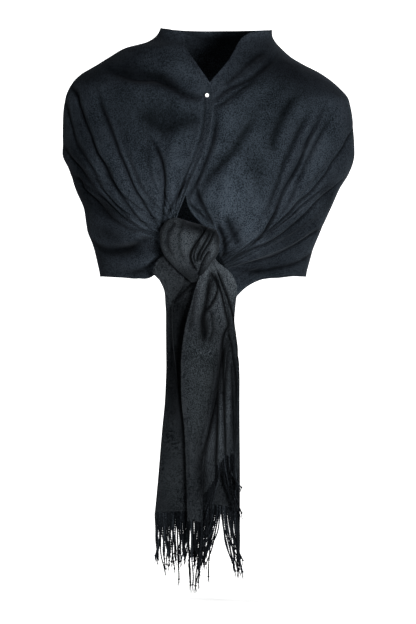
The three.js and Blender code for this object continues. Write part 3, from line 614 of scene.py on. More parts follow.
def stretch(shares, count):
    """Which stretch between count equally spaced stations each share is in, and how far along it."""
    at = np.clip(shares, 0, 1) * (count - 1)
    i = np.minimum(at.astype(int), count - 2)
    return i, at - i


def longer(stations):
    """Stations with one more beyond each end."""
    return np.concatenate([2 * stations[:1] - stations[1:2], stations, 2 * stations[-1:] - stations[-2:-1]])


def between(before, a, b, after, u):
    """Catmull-Rom from a to b as u goes from 0 to 1."""
    return 0.5 * (
        2 * a
        + (b - before) * u
        + (2 * before - 5 * a + 4 * b - after) * u**2
        + (3 * a - before - 3 * b + after) * u**3
    )


def along(stations, shares):
    """A curve through equally spaced stations: (station, n) and m shares give (n, m)."""
    stations = np.asarray(stations, float)
    i, u = stretch(shares, len(stations))
    places = longer(stations)
    return between(*(places[i + k].T for k in range(4)), u)


body_table = by_name(BODY_COLUMNS, BODY)
body = {name: column(body_table["height"], body_table[name]) for name in BODY_COLUMNS[1:]}
right_front, left_front = (by_name(FRONT_COLUMNS, rows) for rows in (RIGHT_FRONT, LEFT_FRONT))


def body_point(angle, height):
    """A point of the form at an angle round the body, from the front towards +X, and a height."""
    across = np.sin(angle) * np.where(np.sin(angle) < 0, body["right"](height), body["left"](height))
    out = np.cos(angle) * np.where(np.cos(angle) > 0, body["front"](height), body["back"](height))
    return np.stack([across, -out, height + 0 * across], axis=-1)


def front_angle(x, z):
    """The angle round the body at which the front of the form has a given x."""
    half = np.where(np.asarray(x) < 0, body["right"](z), body["left"](z))
    return float(np.arcsin(np.clip(x / half, -1, 1)))


def front_points(table, side_sign, courses, shares):
    """A front stretch from the side (share 0) to the knot (share 1)."""
    heights = [column(table["course"], table["side"])(courses)]
    angles = [np.full(len(courses), side_sign * math.pi / 2)]
    for station in STATIONS:
        places = table[station]
        heights.append(column(table["course"], [z for _, z in places])(courses))
        angles.append(column(table["course"], [front_angle(x, z) for x, z in places])(courses))
    return body_point(along(angles, shares), along(heights, shares))


def back_rows(name):
    """The courses of the back's folds and one of their columns, with 0 at both edges."""
    return [0, *(row["course"] for row in BACK_FOLDS), 1], [0, *(row[name] for row in BACK_FOLDS), 0]


def back_points(courses, shares):
    """The back stretch from the wearer's right side (share 0) to the left side (share 1)."""
    sag = column(*back_rows("sag"))(courses)[:, None]
    right, left = (column(t["course"], t["side"])(courses)[:, None] for t in (right_front, left_front))
    sides = right + (left - right) * smooth(shares, 0, 1)
    centre = NECK_BACK + (HEM_BACK - NECK_BACK) * courses[:, None] - SWAG["sag"] * sag
    middle = np.sin(math.pi * shares) ** 2
    heights = sides + (centre - sides) * middle
    return body_point(-math.pi / 2 - math.pi * shares + 0 * heights, heights)


def grid_normals(points):
    """Unit normals of a grid of points: rows go down the cloth, columns along it."""
    return unit(np.cross(np.gradient(points, axis=1), np.gradient(points, axis=0)))


def curve_through(places):
    """A smooth line through some points."""
    count = (len(places) - 1) * LINE_STEPS + 1
    return along(places, np.linspace(0, 1, count)).T


def offsets(points, normals, line):
    """Signed distance of each point from a line on the surface, and how far along the line it is (0 to 1)."""
    flat = points.reshape(-1, 3)
    flat_normals = normals.reshape(-1, 3)
    nearest = np.full(len(flat), np.inf)
    signed = np.zeros(len(flat))
    share = np.zeros(len(flat))
    steps = np.diff(line, axis=0)
    lengths = np.linalg.norm(steps, axis=1)
    starts = np.concatenate([[0], np.cumsum(lengths)])
    for k, step in enumerate(steps):
        t = np.clip((flat - line[k]) @ step / (step @ step), 0, 1)
        away = flat - (line[k] + t[:, None] * step)
        distance = np.linalg.norm(away, axis=1)
        closer = distance < nearest
        nearest[closer] = distance[closer]
        share[closer] = (starts[k] + t[closer] * lengths[k]) / starts[-1]
        across = np.cross(flat_normals[closer], step)
        signed[closer] = np.sign(np.einsum("ij,ij->i", across, away[closer])) * distance[closer]
    shape = points.shape[:-1]
    return signed.reshape(shape), share.reshape(shape)


def fold_profile(offset, share, depth, width, lip, fade):
    """How far the cloth stands out beside a fold, and its painted shade there, with a painted highlight on
    its lip.

    A fold is a narrow trough with soft shoulders, and one side of it overhangs.
    """
    w = width[0] + (width[1] - width[0]) * share
    trough = FOLD["core"] * bell(offset, w) + (1 - FOLD["core"]) * bell(offset, FOLD["shoulder"] * w)
    side = 1 if lip > 0 else -1
    ridge = bell(offset * side - FOLD["lip_out"] * w, FOLD["lip_width"] * w)
    # Folds get shallower where they crowd together, so their depth follows their width.
    crowd = np.clip(w / width[0], FOLD["least"], 1) ** 0.5
    strength = smooth(share, 0, fade[0]) * (1 - FOLD["end_loss"] * smooth(share, 1 - fade[1], 1)) * crowd
    hidden = min(FOLD["darkest"], FOLD["dark"] + depth / FOLD["dark_depth"])
    at_end = 1 - FOLD["end_light"] * smooth(share, FOLD["end"], 1)
    dark = FOLD["near"] * bell(offset, w) + FOLD["wide"] * crowd**3 * bell(offset, FOLD["wide_reach"] * w)
    lit = FOLD["lip_light"] * min(abs(lip), FOLD["lip_most"]) / 2
    shade = (1 - strength * at_end * hidden * dark) * (1 + strength * lit * ridge)
    return strength * (-depth * trough + abs(lip) * ridge), shade


def front_line(path, behind=()):
    """A fold's line on the form, from points of the front and places behind the side."""
    side = 1 if path[0][0] > 0 else -1
    places = [(side * (math.pi / 2 + math.radians(past)), height) for past, height in behind]
    places += [(front_angle(x, z), z) for x, z in path]
    angles, heights = curve_through(places).T
    return body_point(angles, heights)


def uneven(points, scale, phase):
    """A soft unevenness made of a few sines, between -1 and 1."""
    at = points / scale
    sines = [np.sin(at @ turns + (k + 1) * phase) for k, turns in enumerate(UNEVEN_WAVES)]
    return sum(sines) / len(sines)


def arc_lengths(points, axis):
    """How far each point lies along its row or column of the grid."""
    steps = np.linalg.norm(np.diff(points, axis=axis), axis=-1)
    zero = np.zeros_like(np.take(steps, [0], axis=axis))
    return np.concatenate([zero, np.cumsum(steps, axis=axis)], axis=axis)


def folds_seen(base, folds):
    """How far folds drawn on the front view stand out there, and the painted shade left in them."""
    seen = base * (1, 0, 1)
    forward = np.broadcast_to((0.0, -1.0, 0.0), base.shape)
    relief = np.zeros(base.shape[:2])
    light = np.ones(base.shape[:2])
    for path, depth, width, lip in folds:
        line = curve_through([(x, 0, z) for x, z in path])
        offset, share = offsets(seen, forward, line)
        rise, shade = fold_profile(offset, share, depth, width, lip, FADE["ends"])
        relief += rise
        light *= shade
    return relief, light


def hollows_seen(base, hollows):
    """The same for soft hollows and swells, and for their painted shade and painted highlights."""
    relief = np.zeros(base.shape[:2])
    light = np.ones(base.shape[:2])
    for x, z, half_x, half_z, slant, dip, left in hollows:
        turn = math.radians(slant)
        from_x = (base[..., 0] - x) * math.cos(turn) + (base[..., 2] - z) * math.sin(turn)
        from_z = (base[..., 2] - z) * math.cos(turn) - (base[..., 0] - x) * math.sin(turn)
        inside = bell(from_x, half_x) * bell(from_z, half_z)
        relief -= dip * inside
        light *= 1 - (1 - left) * inside
    return relief, light


def make_mesh(name, points, faces, material, uv=None, shade=None):
    """A smooth-shaded mesh object from points in millimetres. shade is painted shade and light, kept as each
    point's colour.
    """
    mesh = bpy.data.meshes.new(name)
    mesh.from_pydata((np.asarray(points) * MM).tolist(), [], faces)
    mesh.polygons.foreach_set("use_smooth", np.ones(len(mesh.polygons), bool))
    if uv is not None:
        layer = mesh.uv_layers.new(name="cloth")
        corners = np.empty(len(mesh.loops), np.int32)
        mesh.loops.foreach_get("vertex_index", corners)
        layer.data.foreach_set("uv", (np.asarray(uv)[corners] * MM).astype(np.float32).ravel())
    colours = np.ones((len(mesh.vertices), 4), np.float32)
    if shade is not None:
        colours[:, :3] = np.reshape(shade, (-1, 1))
    layer = mesh.color_attributes.new(name=SHADE_LAYER, type="FLOAT_COLOR", domain="POINT")
    layer.data.foreach_set("color", colours.ravel())
    mesh.update()
    mesh.materials.append(material)
    made = bpy.data.objects.new(name, mesh)
    bpy.context.scene.collection.objects.link(made)
    return made


def grid_faces(rows, columns, wrap=False):
    """Faces of a grid whose points are listed row by row. wrap joins the last column to the first."""
    i, j = np.meshgrid(np.arange(rows - 1), np.arange(columns if wrap else columns - 1), indexing="ij")
    next_j = (j + 1) % columns
    corners = [i * columns + j, i * columns + next_j, (i + 1) * columns + next_j, (i + 1) * columns + j]
    return np.stack(corners, axis=-1).reshape(-1, 4).tolist()


def cloth_places(points):
    """The weave's coordinates on a grid of points, in lengths along the cloth and down it."""
    return np.stack([arc_lengths(points, 1), arc_lengths(points, 0)], axis=-1).reshape(-1, 2)


def sheet_object(name, points, shade, material, offset):
    """A grid of points as one sheet of cloth with two faces and edges."""
    faces = grid_faces(*points.shape[:2])
    made = make_mesh(name, points.reshape(-1, 3), faces, material, cloth_places(points), shade)
    layer = made.modifiers.new("cloth_thickness", "SOLIDIFY")
    layer.thickness = CLOTH * MM
    layer.offset = offset
    layer.use_even_offset = False
    return made


# Materials
def painted(name, values):
    """A material whose shader has some values, with its node tree and its shader."""
    material = bpy.data.materials.new(name)
    material.use_nodes = True
    shader = material.node_tree.nodes["Principled BSDF"]
    for socket, value in values.items():
        shader.inputs[socket].default_value = value
    return material, material.node_tree, shader


def node(tree, kind, values, feeds, **settings):
    """A new node's outputs. values are set on its inputs, and feeds are the outputs that go to others."""
    made = tree.nodes.new(kind)
    for name, setting in settings.items():
        setattr(made, name, setting)
    for socket, value in values.items():
        made.inputs[socket].default_value = value
    for socket, output in feeds.items():
        tree.links.new(output, made.inputs[socket])
    return made.outputs


def ramp(tree, output, first, last):
    """A colour that runs from one (place, colour) to another."""
    made = tree.nodes.new("ShaderNodeValToRGB")
    for element, (place, colour) in zip(made.color_ramp.elements, (first, last)):
        element.position = place
        element.color = (*colour, 1)
    tree.links.new(output, made.inputs["Fac"])
    return made.outputs["Color"]


def cloth_material(name, dark, light, roughness):
    """Fine twill: slanting lines of the weave and a soft nap, both as bump, over a faintly mottled colour
    that painted shade and painted light multiply.
    """
    material, tree, shader = painted(name, {"Roughness": roughness, **CLOTH_LOOK})
    place = node(tree, "ShaderNodeTexCoord", {}, {})
    on_object = {"Vector": place["Object"]}
    grain = node(tree, "ShaderNodeTexNoise", GRAIN, on_object)["Fac"]
    patches = node(tree, "ShaderNodeTexNoise", PATCHES, on_object)["Fac"]
    wave = {"wave_type": "BANDS", "bands_direction": "DIAGONAL"}
    twill = node(tree, "ShaderNodeTexWave", TWILL, {"Vector": place["UV"]}, **wave)["Fac"]

    patchy = node(tree, "ShaderNodeMath", {1: MOTTLE["patches"]}, {0: patches}, operation="MULTIPLY")[0]
    feeds = {0: grain, 2: patchy}
    mottle = node(tree, "ShaderNodeMath", {1: MOTTLE["grain"]}, feeds, operation="MULTIPLY_ADD")[0]
    colour = ramp(tree, mottle, (MOTTLE["low"], dark), (MOTTLE["high"], light))
    # Painted shade and painted light, kept as each point's colour, multiply the cloth's colour.
    folds = node(tree, "ShaderNodeVertexColor", {}, {}, layer_name=SHADE_LAYER)["Color"]
    # Of a Mix node's sockets 0 is the factor, 6 and 7 are the two colours and output 2 is the colour.
    mix = {"data_type": "RGBA", "blend_type": "MULTIPLY"}
    shaded = node(tree, "ShaderNodeMix", {0: 1.0}, {6: colour, 7: folds}, **mix)[2]
    tree.links.new(shaded, shader.inputs["Base Color"])

    weave = node(tree, "ShaderNodeBump", WEAVE_BUMP, {"Height": twill})["Normal"]
    nap = node(tree, "ShaderNodeBump", NAP_BUMP, {"Height": grain, "Normal": weave})["Normal"]
    tree.links.new(nap, shader.inputs["Normal"])
    return material


def pearl_material():
    material, tree, shader = painted("pearl", PEARL_LOOK)
    # Painted sheen: the colour turns from cream, where the head faces the eye, to rose at its edge.
    painted_sheen = node(tree, "ShaderNodeLayerWeight", PEARL_EDGE, {})["Facing"]
    colour = ramp(tree, painted_sheen, (0, PEARL_CREAM), (1, PEARL_ROSE))
    tree.links.new(colour, shader.inputs["Base Color"])
    return material


def steel_material():
    material, tree, shader = painted("pin_steel", STEEL_LOOK)
    place = node(tree, "ShaderNodeTexCoord", {}, {})["Object"]
    scratches = node(tree, "ShaderNodeTexNoise", STEEL_SCRATCHES, {"Vector": place})["Fac"]
    low, high = STEEL_ROUGHNESS
    gloss = ramp(tree, scratches, (0, (low, low, low)), (1, (high, high, high)))
    tree.links.new(gloss, shader.inputs["Roughness"])
    return material


cloth = cloth_material("black_twill", CLOTH_DARK, CLOTH_LIGHT, CLOTH_ROUGHNESS)
ends = cloth_material("black_twill_ends", ENDS_DARK, ENDS_LIGHT, CLOTH_ROUGHNESS)
yarn = cloth_material("black_yarn", YARN_DARK, YARN_LIGHT, YARN_ROUGHNESS)


# The cape: one sheet from the right front's end at the knot, round the back, to the left front's end
def cape_folds(base, normals, half):
    """How far the folds of the fronts stand out, and their painted shade and painted highlights.

    Where folds crowd together the deepest one counts most, so they don't add up to a pit.
    """
    totals = np.zeros((4, *base.shape[:2]))
    for part, folds in ((slice(0, half), RIGHT_FOLDS), (slice(half, None), LEFT_FOLDS)):
        for path, depth, width, lip, *behind in folds:
            offset, share = offsets(base[:, part], normals[:, part], front_line(path, *behind))
            rise, light = fold_profile(offset, share, depth, width, lip, FADE["fronts"])
            totals[:, :, part] += np.maximum([rise, -rise, 1 - light, light - 1], 0) ** CROWDING
    raised, sunk, dark, bright = totals ** (1 / CROWDING)
    return FOLD_DEPTH * (raised - sunk), np.maximum(1 - dark, 0) * (1 + bright)


def swags(courses, across, shown):
    """How far the swags of the back stand out, rounded between their folds, and the painted shade in their
    creases.
    """
    rows, folds = back_rows("fold")
    at = np.interp(courses, rows, np.arange(len(rows)))[:, None]
    dip = np.interp(courses, rows, folds)[:, None]

    def wave(turns, at):
        return np.sin(2 * math.pi * (turns[0] * across + turns[1] * at))

    at = at + SWAG["wander"] * wave(SWAG["wander_waves"], at)
    shown = shown * (SWAG["even"] + (1 - SWAG["even"]) * wave(SWAG["loose_waves"], at))
    rise = SWAG["depth"] * dip * (np.abs(np.sin(math.pi * at)) ** SOFTEN - SWAG["level"])
    crease = bell(np.sin(math.pi * at), SWAG["crease"])
    return rise * shown, 1 - SWAG["shade"] * crease * shown


def cape_points():
    courses, front, back = (np.linspace(0, 1, CAPE[name]) for name in ("courses", "front", "back"))
    right = front_points(right_front, -1, courses, front)[:, ::-1]
    left = front_points(left_front, 1, courses, front)
    base = np.concatenate([right, back_points(courses, back)[:, 1:], left[:, 1:]], axis=1)
    normals = grid_normals(base)
    columns = np.arange(base.shape[1])[None, :]
    half = CAPE["front"] + CAPE["back"] // 2
    # How far each column is from the side towards the knot (positive) or round the back (negative)
    towards = np.concatenate([front[::-1], -np.minimum(back, 1 - back)[1:], front[1:]])[None, :]
    across = np.concatenate([0 * front, back[1:], 1 + 0 * front[1:]])[None, :]
    down = courses[:, None]
    from_top = arc_lengths(base, 0)
    from_hem = from_top[-1:] - from_top

    drawn, shade = cape_folds(base, normals, half)
    dips, light = hollows_seen(base, HOLLOWS)
    to_front = smooth(-normals[..., 1], *FACING["hollows"])
    drawn += dips * to_front
    shade *= 1 - (1 - light) * to_front
    # Painted shade: what faces up is darker than what faces the front, as if it got less light.
    shade *= 1 - UP_SHADE * smooth(normals[..., 2], *FACING["up"])
    # Seen from the front the outline stays smooth, so folds are low where they turn the sides.
    drawn *= SIDE_FOLDS + (1 - SIDE_FOLDS) * smooth(np.abs(normals[..., 1]), *FACING["outline"])
    # On the fronts they sink straight back, so that they are seen where they are drawn.
    sinks = normals * np.where(normals[..., 1:2] < 0, FOLD_SINK, 1)

    relief, light = swags(courses, across, smooth(-towards, *TOWARDS["swags"]))
    shade *= light

    # The turned edge of the right front shows as a band with a groove beside it, and painted shade darkens
    # the groove.
    band = (from_top < EDGE_BAND["width"]) * EDGE_BAND["rise"]
    groove = bell(from_top - EDGE_BAND["width"], EDGE_BAND["groove_width"])
    on_right = (columns < CAPE["front"]) * smooth(towards, *TOWARDS["band"])
    relief += (band - EDGE_BAND["groove"] * groove) * on_right
    shade *= 1 - EDGE_BAND["shade"] * groove * on_right

    # All edges are softly rolled.
    roll = bell(from_top, HEM_ROLL["width"]) + bell(from_hem, HEM_ROLL["width"])
    relief += HEM_ROLL["rise"] * roll * (1 - smooth(towards, *TOWARDS["hem"]))

    # Fine pleats run with the courses and get closer and deeper towards the knot.
    bend = np.sin(PLEAT_WAVE["along"] * towards + PLEAT_WAVE["down"] * down)
    for row in PLEATS:
        wave = np.sin(2 * math.pi * (row["count"] * down + row["slant"] * bend) + row["count"])
        pleat = np.abs(wave) ** SOFTEN * np.sign(wave) - PLEAT_WAVE["level"]
        relief += row["height"] * pleat * smooth(towards, row["start"], row["start"] + PLEAT_WAVE["reach"])

    # Small gathers where the cloth is drawn into the knot
    phase = math.pi * (GATHER["count"] * down + GATHER["shift"] * np.sin(GATHER["waves"] * down))
    gather = GATHER["level"] - np.abs(np.cos(phase)) ** GATHER["sharp"]
    relief += GATHER["depth"] * gather * smooth(towards, *TOWARDS["gathers"]) * smooth(down, *DOWN["gathers"])

    # The fronts cross: the right one stands out and the left one in.
    crossed = (1 - smooth(down, *DOWN["crossed"])) * smooth(towards, *TOWARDS["crossed"])
    relief += OVERLAP_LIFT * np.where(columns < half, 1, -1) * crossed

    for row in UNEVEN_CAPE:
        relief += row["height"] * uneven(base, row["scale"], row["phase"])
    moved = normals * relief[..., None] + sinks * drawn[..., None]
    # The knot draws the fronts forward, all but their lower edges.
    moved[..., 1] -= KNOT_PULL * smooth(towards, *TOWARDS["pull"]) * (1 - smooth(down, *DOWN["pull"]))
    return base + moved, np.maximum(shade, DEEP_SHADE)


cape = sheet_object("shawl_cape", *cape_points(), cloth, offset=-1)


# The knot
def knot_points():
    at, *sides = zip(*KNOT_DOWN)
    (left_x, left_z), (right_x, right_z) = ([column(at, values) for values in zip(*side)] for side in sides)
    share = np.linspace(KNOT["end"], 1 - KNOT["end"], KNOT_GRID["across"])[:, None]
    turn = np.linspace(0, 2 * math.pi, KNOT_GRID["around"], endpoint=False)[None, :]
    down = (1 - np.cos(turn)) / 2
    off_middle = 2 * share - 1
    # The wearer's right end of the knot slopes gently into the front, the left end is blunt.
    bulge = np.sqrt(np.maximum(0, 1 - np.where(share < 0.5, off_middle**2, off_middle**4)))
    rise = column(*zip(*KNOT_RISE))(share) * (1 - down)
    depth = np.sin(turn) * np.where(np.sin(turn) > 0, KNOT["front"], KNOT["back"]) * bulge
    x = left_x(down) + (right_x(down) - left_x(down)) * share
    z = left_z(down) + (right_z(down) - left_z(down)) * share
    base = np.stack([x, KNOT["middle"] - depth, z + rise], axis=-1)
    around = np.roll(base, -1, axis=1) - np.roll(base, 1, axis=1)
    normals = unit(np.cross(around, np.gradient(base, axis=0)))
    normals *= np.sign(np.median(np.einsum("ijk,ijk->ij", normals, base - base.mean((0, 1)))))

    # Painted shade: the rim at the top and the sides is darkened as if turned away from the light, the cloth
    # at the top as if in the fronts' shade, and the whole knot is brightened by painted light.
    plain = KNOT["left_rim"] + (1 - KNOT["left_rim"]) * smooth(share, *KNOT["rim_from"])
    turned = (1 - smooth(-normals[..., 1], *FACING["knot_rim"])) * plain
    shade = 1 - KNOT["rim_shade"] * turned
    from_top = left_z(0) + (right_z(0) - left_z(0)) * share - base[..., 2]
    shade *= 1 - KNOT["top_shade"] * bell(from_top, KNOT["top_band"]) * smooth(share, *KNOT["top_from"])
    shade *= KNOT["light"]
    relief = UNEVEN_KNOT["height"] * uneven(base, UNEVEN_KNOT["scale"], UNEVEN_KNOT["phase"])
    in_front = smooth(-normals[..., 1], *FACING["knot_folds"])
    for rise, light in (folds_seen(base, KNOT_FOLDS), hollows_seen(base, KNOT_HOLLOWS)):
        relief = relief + rise * in_front
        shade *= light
    return base + normals * relief[..., None], np.maximum(shade, DEEP_SHADE)


def knot_object():
    """The knot's grid goes round it, and each end is closed by a cap to its middle."""
    points, shade = knot_points()
    rows, around = points.shape[:2]
    corners = points.reshape(-1, 3)
    first, last = len(corners), len(corners) + 1
    start = (rows - 1) * around
    faces = grid_faces(rows, around, wrap=True)
    faces += [(first, (j + 1) % around, j) for j in range(around)]
    faces += [(last, start + j, start + (j + 1) % around) for j in range(around)]
    uv = cloth_places(points)
    uv = np.vstack([uv, uv[:2]])
    shade = np.concatenate([shade.ravel(), [1, 1]])
    corners = np.vstack([corners, corners[:around].mean(0), corners[-around:].mean(0)])
    return make_mesh("shawl_knot", corners, faces, ends, uv, shade)


knot = knot_object()


# The tails
def tail_point_function(form):
    """A function that gives the points of a tail at shares across (n) and down (m): (n, m, 3)."""
    depth = column(*zip(*form["depth"]))
    across = [column(form["levels"], values) for values in zip(*form["x"])]
    forward = [column(form["levels"], values) for values in zip(*form["forward"])]
    hem_stations = np.array(form["hem"], float)[:, None]
    top = form["levels"][0]

    def point(share, down):
        hem = along(hem_stations, share)[0]
        height = top + (hem[:, None] - top) * down[None, :]
        low = np.minimum(height, top)
        i, u = stretch(share, len(hem_stations))
        rows = np.arange(len(share))

        def at_share(curves):
            values = longer(np.stack([curve(low) for curve in curves]))
            return between(*(values[i + k, rows] for k in range(4)), u[:, None])

        return np.stack([at_share(across), depth(low) - at_share(forward), height], axis=-1)

    return point


def blurred(values, reach):
    """The mean of each value and its neighbours across the cloth."""
    padded = np.pad(values, ((0, 0), (reach, reach)), mode="edge")
    total = np.cumsum(np.pad(padded, ((0, 0), (1, 0))), axis=1)
    return (total[:, 2 * reach + 1 :] - total[:, : -2 * reach - 1]) / (2 * reach + 1)


def tail_object(name, form):
    share = np.linspace(0, 1, TAIL_GRID["across"])
    down = np.linspace(0, 1, TAIL_GRID["down"]) ** TAIL["crowd_top"]
    base = tail_point_function(form)(share, down)
    for row in UNEVEN_TAIL:
        slack = row["height"] * uneven(base, row["scale"], form["phase"] + row["phase"])
        base[..., row["axis"]] += slack * smooth(down, *row["down"])
    base = np.swapaxes(base, 0, 1)
    # Painted shade: a place behind its neighbours across the cloth is darkened, and the whole tail by its
    # light.
    behind = base[..., 1] - blurred(base[..., 1], TAIL["neighbours"])
    shade = form["light"] * (1 - (1 - DEEP_SHADE) * smooth(behind, *TAIL["behind"]))
    # Painted light: towards the knot the cloth is brightened to look as light as the fronts beside it.
    shade *= 1 + form["top_light"] * smooth(base[..., 2], *TAIL["top"])
    for relief, light in (folds_seen(base, form["folds"]), hollows_seen(base, form["hollows"])):
        base[..., 1] -= relief
        shade *= light
    return sheet_object(name, base, np.maximum(shade, TAIL["darkest"]), ends, offset=0)


front_tail = tail_object("front_tail_cloth", FRONT_TAIL)
rear_tail = tail_object("rear_tail_cloth", REAR_TAIL)


# The fringes
def tube(centres, radii, sides):
    """Points and faces of a tube along some centres."""
    tangents = unit(np.gradient(centres, axis=0))
    side = unit(np.cross(tangents, (0.0, 1.0, 0.0)))
    other = np.cross(side, tangents)
    angles = (2 * math.pi * np.arange(sides) / sides)[None, :, None]
    ring = np.cos(angles) * side[:, None, :] + np.sin(angles) * other[:, None, :]
    points = centres[:, None, :] + ring * radii[:, None, None]
    faces = grid_faces(len(centres), sides, wrap=True)
    faces.append(list(range(sides - 1, -1, -1)))
    faces.append([(len(centres) - 1) * sides + k for k in range(sides)])
    return points.reshape(-1, 3), faces


def strand_tubes(root, length, drift, rng):
    """One tassel: two yarns twisted together, a knot, and loose ends below it."""
    count = max(STRAND["rings"], int(length / STRAND["ring_gap"]))
    t = np.linspace(0, 1, count)
    chance = rng.uniform(-1, 1, len(STRAND_WAVES) + 1)
    line = root + drift * t[:, None] ** 2 + np.array([0, 0, -length]) * t[:, None]
    for row, shift in zip(STRAND_WAVES, chance):
        line[:, row["axis"]] += row["size"] * np.sin(row["turns"] * t + STRAND["wave_chance"] * shift) * t
    turns = 2 * math.pi * length / STRAND["pitch"] * t + STRAND["twist_chance"] * chance[-1]
    taper = 1 - STRAND["taper"] * t
    parts = []
    for half in (0, math.pi):
        around = np.stack([np.cos(turns + half), np.sin(turns + half), np.zeros(count)], axis=1)
        centres = line + around * STRAND["offset"] * taper[:, None]
        parts.append(tube(centres, STRAND["yarn"] * taper, STRAND["sides"]))
    # The small knot is a short thick stretch.
    end = line[-1]
    beads = np.linspace(-1, 1, STRAND["knot_rings"])
    knot_line = end + beads[:, None] * (0, 0, -STRAND["knot_half"])
    radii = STRAND["knot_core"] + STRAND["knot"] * np.sqrt(np.maximum(0, 1 - beads**2))
    parts.append(tube(knot_line, radii, STRAND["knot_sides"]))
    s = np.linspace(0, 1, HAIR["rings"])
    for _ in range(HAIR["count"]):
        spread = np.array([*(HAIR["spread"] * rng.uniform(-1, 1, 2)), 0])
        hair = end + spread * s[:, None] ** HAIR["bend"]
        hair[:, 2] -= HAIR["length"] * rng.uniform(HAIR["shortest"], 1.0) * s
        parts.append(tube(hair, HAIR["radius"] * (1 - HAIR["taper"] * s) + HAIR["tip"], HAIR["sides"]))
    return parts


def fringe_object(name, form, fringe):
    rng = np.random.default_rng(fringe["seed"])
    point = tail_point_function(form)
    at_hem = np.array([1.0])
    fine = np.linspace(TASSELS["margin"], 1 - TASSELS["margin"], TASSELS["steps"])
    hem = point(fine, at_hem)[:, 0]
    lengths = np.concatenate([[0], np.cumsum(np.linalg.norm(np.diff(hem[:, :2], axis=0), axis=1))])
    share = np.interp(np.linspace(0, lengths[-1], fringe["count"]), lengths, fine)
    roots = point(share, at_hem)[:, 0]
    points, faces, shade = [], [], []
    total = 0
    for k, root in enumerate(roots):
        # Strands hang together in uneven bunches: each leans towards the middle of its own.
        lock = next(row for row in fringe["locks"] if root[0] <= row["until"])
        bunch = k // lock["bunch"]
        members = roots[bunch * lock["bunch"] : (bunch + 1) * lock["bunch"]]
        lean = lock["gather"] * (members[:, 0].mean() - root[0]) + lock["lean"]
        lean += lock["swing"] * math.sin(TASSELS["swing_step"] * bunch + fringe["seed"])
        from_parting = root[0] - fringe["parting"]
        lean += TASSELS["part"] * math.copysign(bell(from_parting, TASSELS["part_reach"]), from_parting)
        sideways = lean + TASSELS["sway"] * rng.uniform(-1, 1)
        drift = np.array([sideways, TASSELS["depth_sway"] * rng.uniform(-1, 1), 0])
        shortest = fringe["shortest"]
        length = lock["reach"] * fringe["length"] * (shortest + (1 - shortest) * rng.uniform(0, 1))
        # Painted shade and painted highlight: most strands are darkened as if deep in the fringe's own shade,
        # and a few brightened as if they catch the light.
        light = TASSELS["bright"] if rng.uniform() < TASSELS["bright_share"] else rng.uniform(*TASSELS["dim"])
        if rng.uniform() < TASSELS["long_share"]:
            length *= TASSELS["long"]
        for part_points, part_faces in strand_tubes(root + (0, 0, TASSELS["root"]), length, drift, rng):
            points.append(part_points)
            faces += [[v + total for v in face] for face in part_faces]
            shade.append(np.full(len(part_points), light))
            total += len(part_points)
    points = np.vstack(points)
    return make_mesh(name, points, faces, yarn, points[:, [2, 0]], np.concatenate(shade))


front_fringe = fringe_object("front_fringe_yarn", FRONT_TAIL, FRINGES["front"])
rear_fringe = fringe_object("rear_fringe_yarn", REAR_TAIL, FRINGES["rear"])


# The pin: a pearl head in a small cup on a steel shank
def lathe(name, profile, sides, centre, material):
    """A turned piece whose axis runs from back to front (towards -Y). profile is (radius, y) rows."""
    angles = 2 * math.pi * np.arange(sides) / sides
    rings = np.array([[(r * math.cos(a), y, r * math.sin(a)) for a in angles] for r, y in profile])
    faces = grid_faces(len(profile), sides, wrap=True)
    return make_mesh(name, rings.reshape(-1, 3) + centre, faces, material)


pin_low, pin_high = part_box("neck_pin")
head_middle = pin_low.y / MM + PIN["head"]
head_at = np.array([PIN["x"], head_middle, PIN["z"]])
turns = np.linspace(PIN["pole"], math.pi - PIN["pole"], PIN["rings"])
head_profile = [(PIN["head"] * math.sin(a), -PIN["head"] * math.cos(a)) for a in turns]
pin_head = lathe("pin_head", head_profile, PIN["head_sides"], head_at, pearl_material())
shank_start = PIN["head"] - PIN["sunk"]
shank_end = pin_high.y / MM - head_middle
shank = [(radius, shank_start + y) for radius, y in PIN_CUP]
shank += [(radius, shank_end - y) for radius, y in PIN_POINT]
pin_shank = lathe("pin_shank", shank, PIN["shank_sides"], head_at, steel_material())

STANDS_FOR = [
    (cape, ("back_stretch", "right_front_stretch", "left_front_stretch"), "cloth"),
    (knot, ("knot",), "cloth"),
    (front_tail, ("front_tail",), "cloth"),
    (rear_tail, ("rear_tail",), "cloth"),
    (front_fringe, ("front_fringe",), "fringe"),
    (rear_fringe, ("rear_fringe",), "fringe"),
    (pin_head, ("neck_pin",), "bead"),
]
for piece, nodes, slot in STANDS_FOR:
    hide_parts(*nodes)
    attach(piece, "root")
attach(pin_shank, "root")


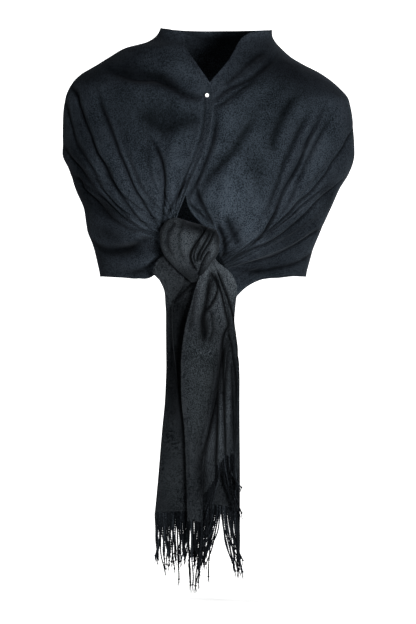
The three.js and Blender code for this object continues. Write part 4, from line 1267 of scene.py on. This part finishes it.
# The stage, the light and the camera
def stage_plane(name, size, location, grey):
    material, _, shader = painted(name + "_paint", {"Base Color": (grey, grey, grey, 1), **STAGE_LOOK})
    mesh = bpy.data.meshes.new(name)
    h = size / 2
    mesh.from_pydata([(-h, -h, 0), (h, -h, 0), (h, h, 0), (-h, h, 0)], [], [(0, 1, 2, 3)])
    mesh.materials.append(material)
    plane = bpy.data.objects.new(name, mesh)
    plane.location = location
    bpy.context.scene.collection.objects.link(plane)
    return plane, shader


stage_plane("floor", size=5, location=(0, 0, cad_box[0].z - FLOOR_GAP), grey=0.85)
backdrop, glow = stage_plane("backdrop", size=14, location=(0, 32, 0), grey=0.9)
backdrop.rotation_euler = (math.pi / 2, 0, 0)
glow.inputs["Emission Color"].default_value = (1, 1, 1, 1)
glow.inputs["Emission Strength"].default_value = 1.0

world = bpy.context.scene.world or bpy.data.worlds.new("studio")
bpy.context.scene.world = world
world.use_nodes = True
background = world.node_tree.nodes["Background"]
background.inputs["Color"].default_value = (1.0, 1.0, 1.0, 1)
background.inputs["Strength"].default_value = WORLD_LIGHT


def soft_light(name, location, aim, size, power):
    data = bpy.data.lights.new(name, "AREA")
    data.shape = "RECTANGLE"
    data.size, data.size_y = size
    data.energy = power
    lamp = bpy.data.objects.new(name, data)
    lamp.location = location
    lamp.rotation_euler = (Vector(aim) - Vector(location)).to_track_quat("-Z", "Y").to_euler()
    bpy.context.scene.collection.objects.link(lamp)


soft_light("key", location=(0.9, -3.1, -0.4), aim=(0.05, 0, -0.25), size=(0.7, 0.6), power=300)
soft_light("behind", location=(-0.8, 3.2, 0.9), aim=(0, 0, -0.4), size=(1.2, 1.2), power=110)
bpy.context.scene.view_settings.view_transform = "Standard"

camera_data = bpy.data.cameras.new("camera")
camera = bpy.data.objects.new("camera", camera_data)
camera_data.sensor_fit = "VERTICAL"
camera_data.sensor_height = CAMERA["sensor"]
camera_data.sensor_width = CAMERA["sensor"]
camera_data.lens = CAMERA["sensor"] * CAMERA["distance"] / CAMERA["frame_height"]
camera.location = (CAMERA["x"], CAMERA["front"] - CAMERA["distance"], CAMERA["z"])
camera.rotation_euler = (math.pi / 2, 0, 0)
bpy.context.scene.collection.objects.link(camera)
bpy.context.scene.camera = camera
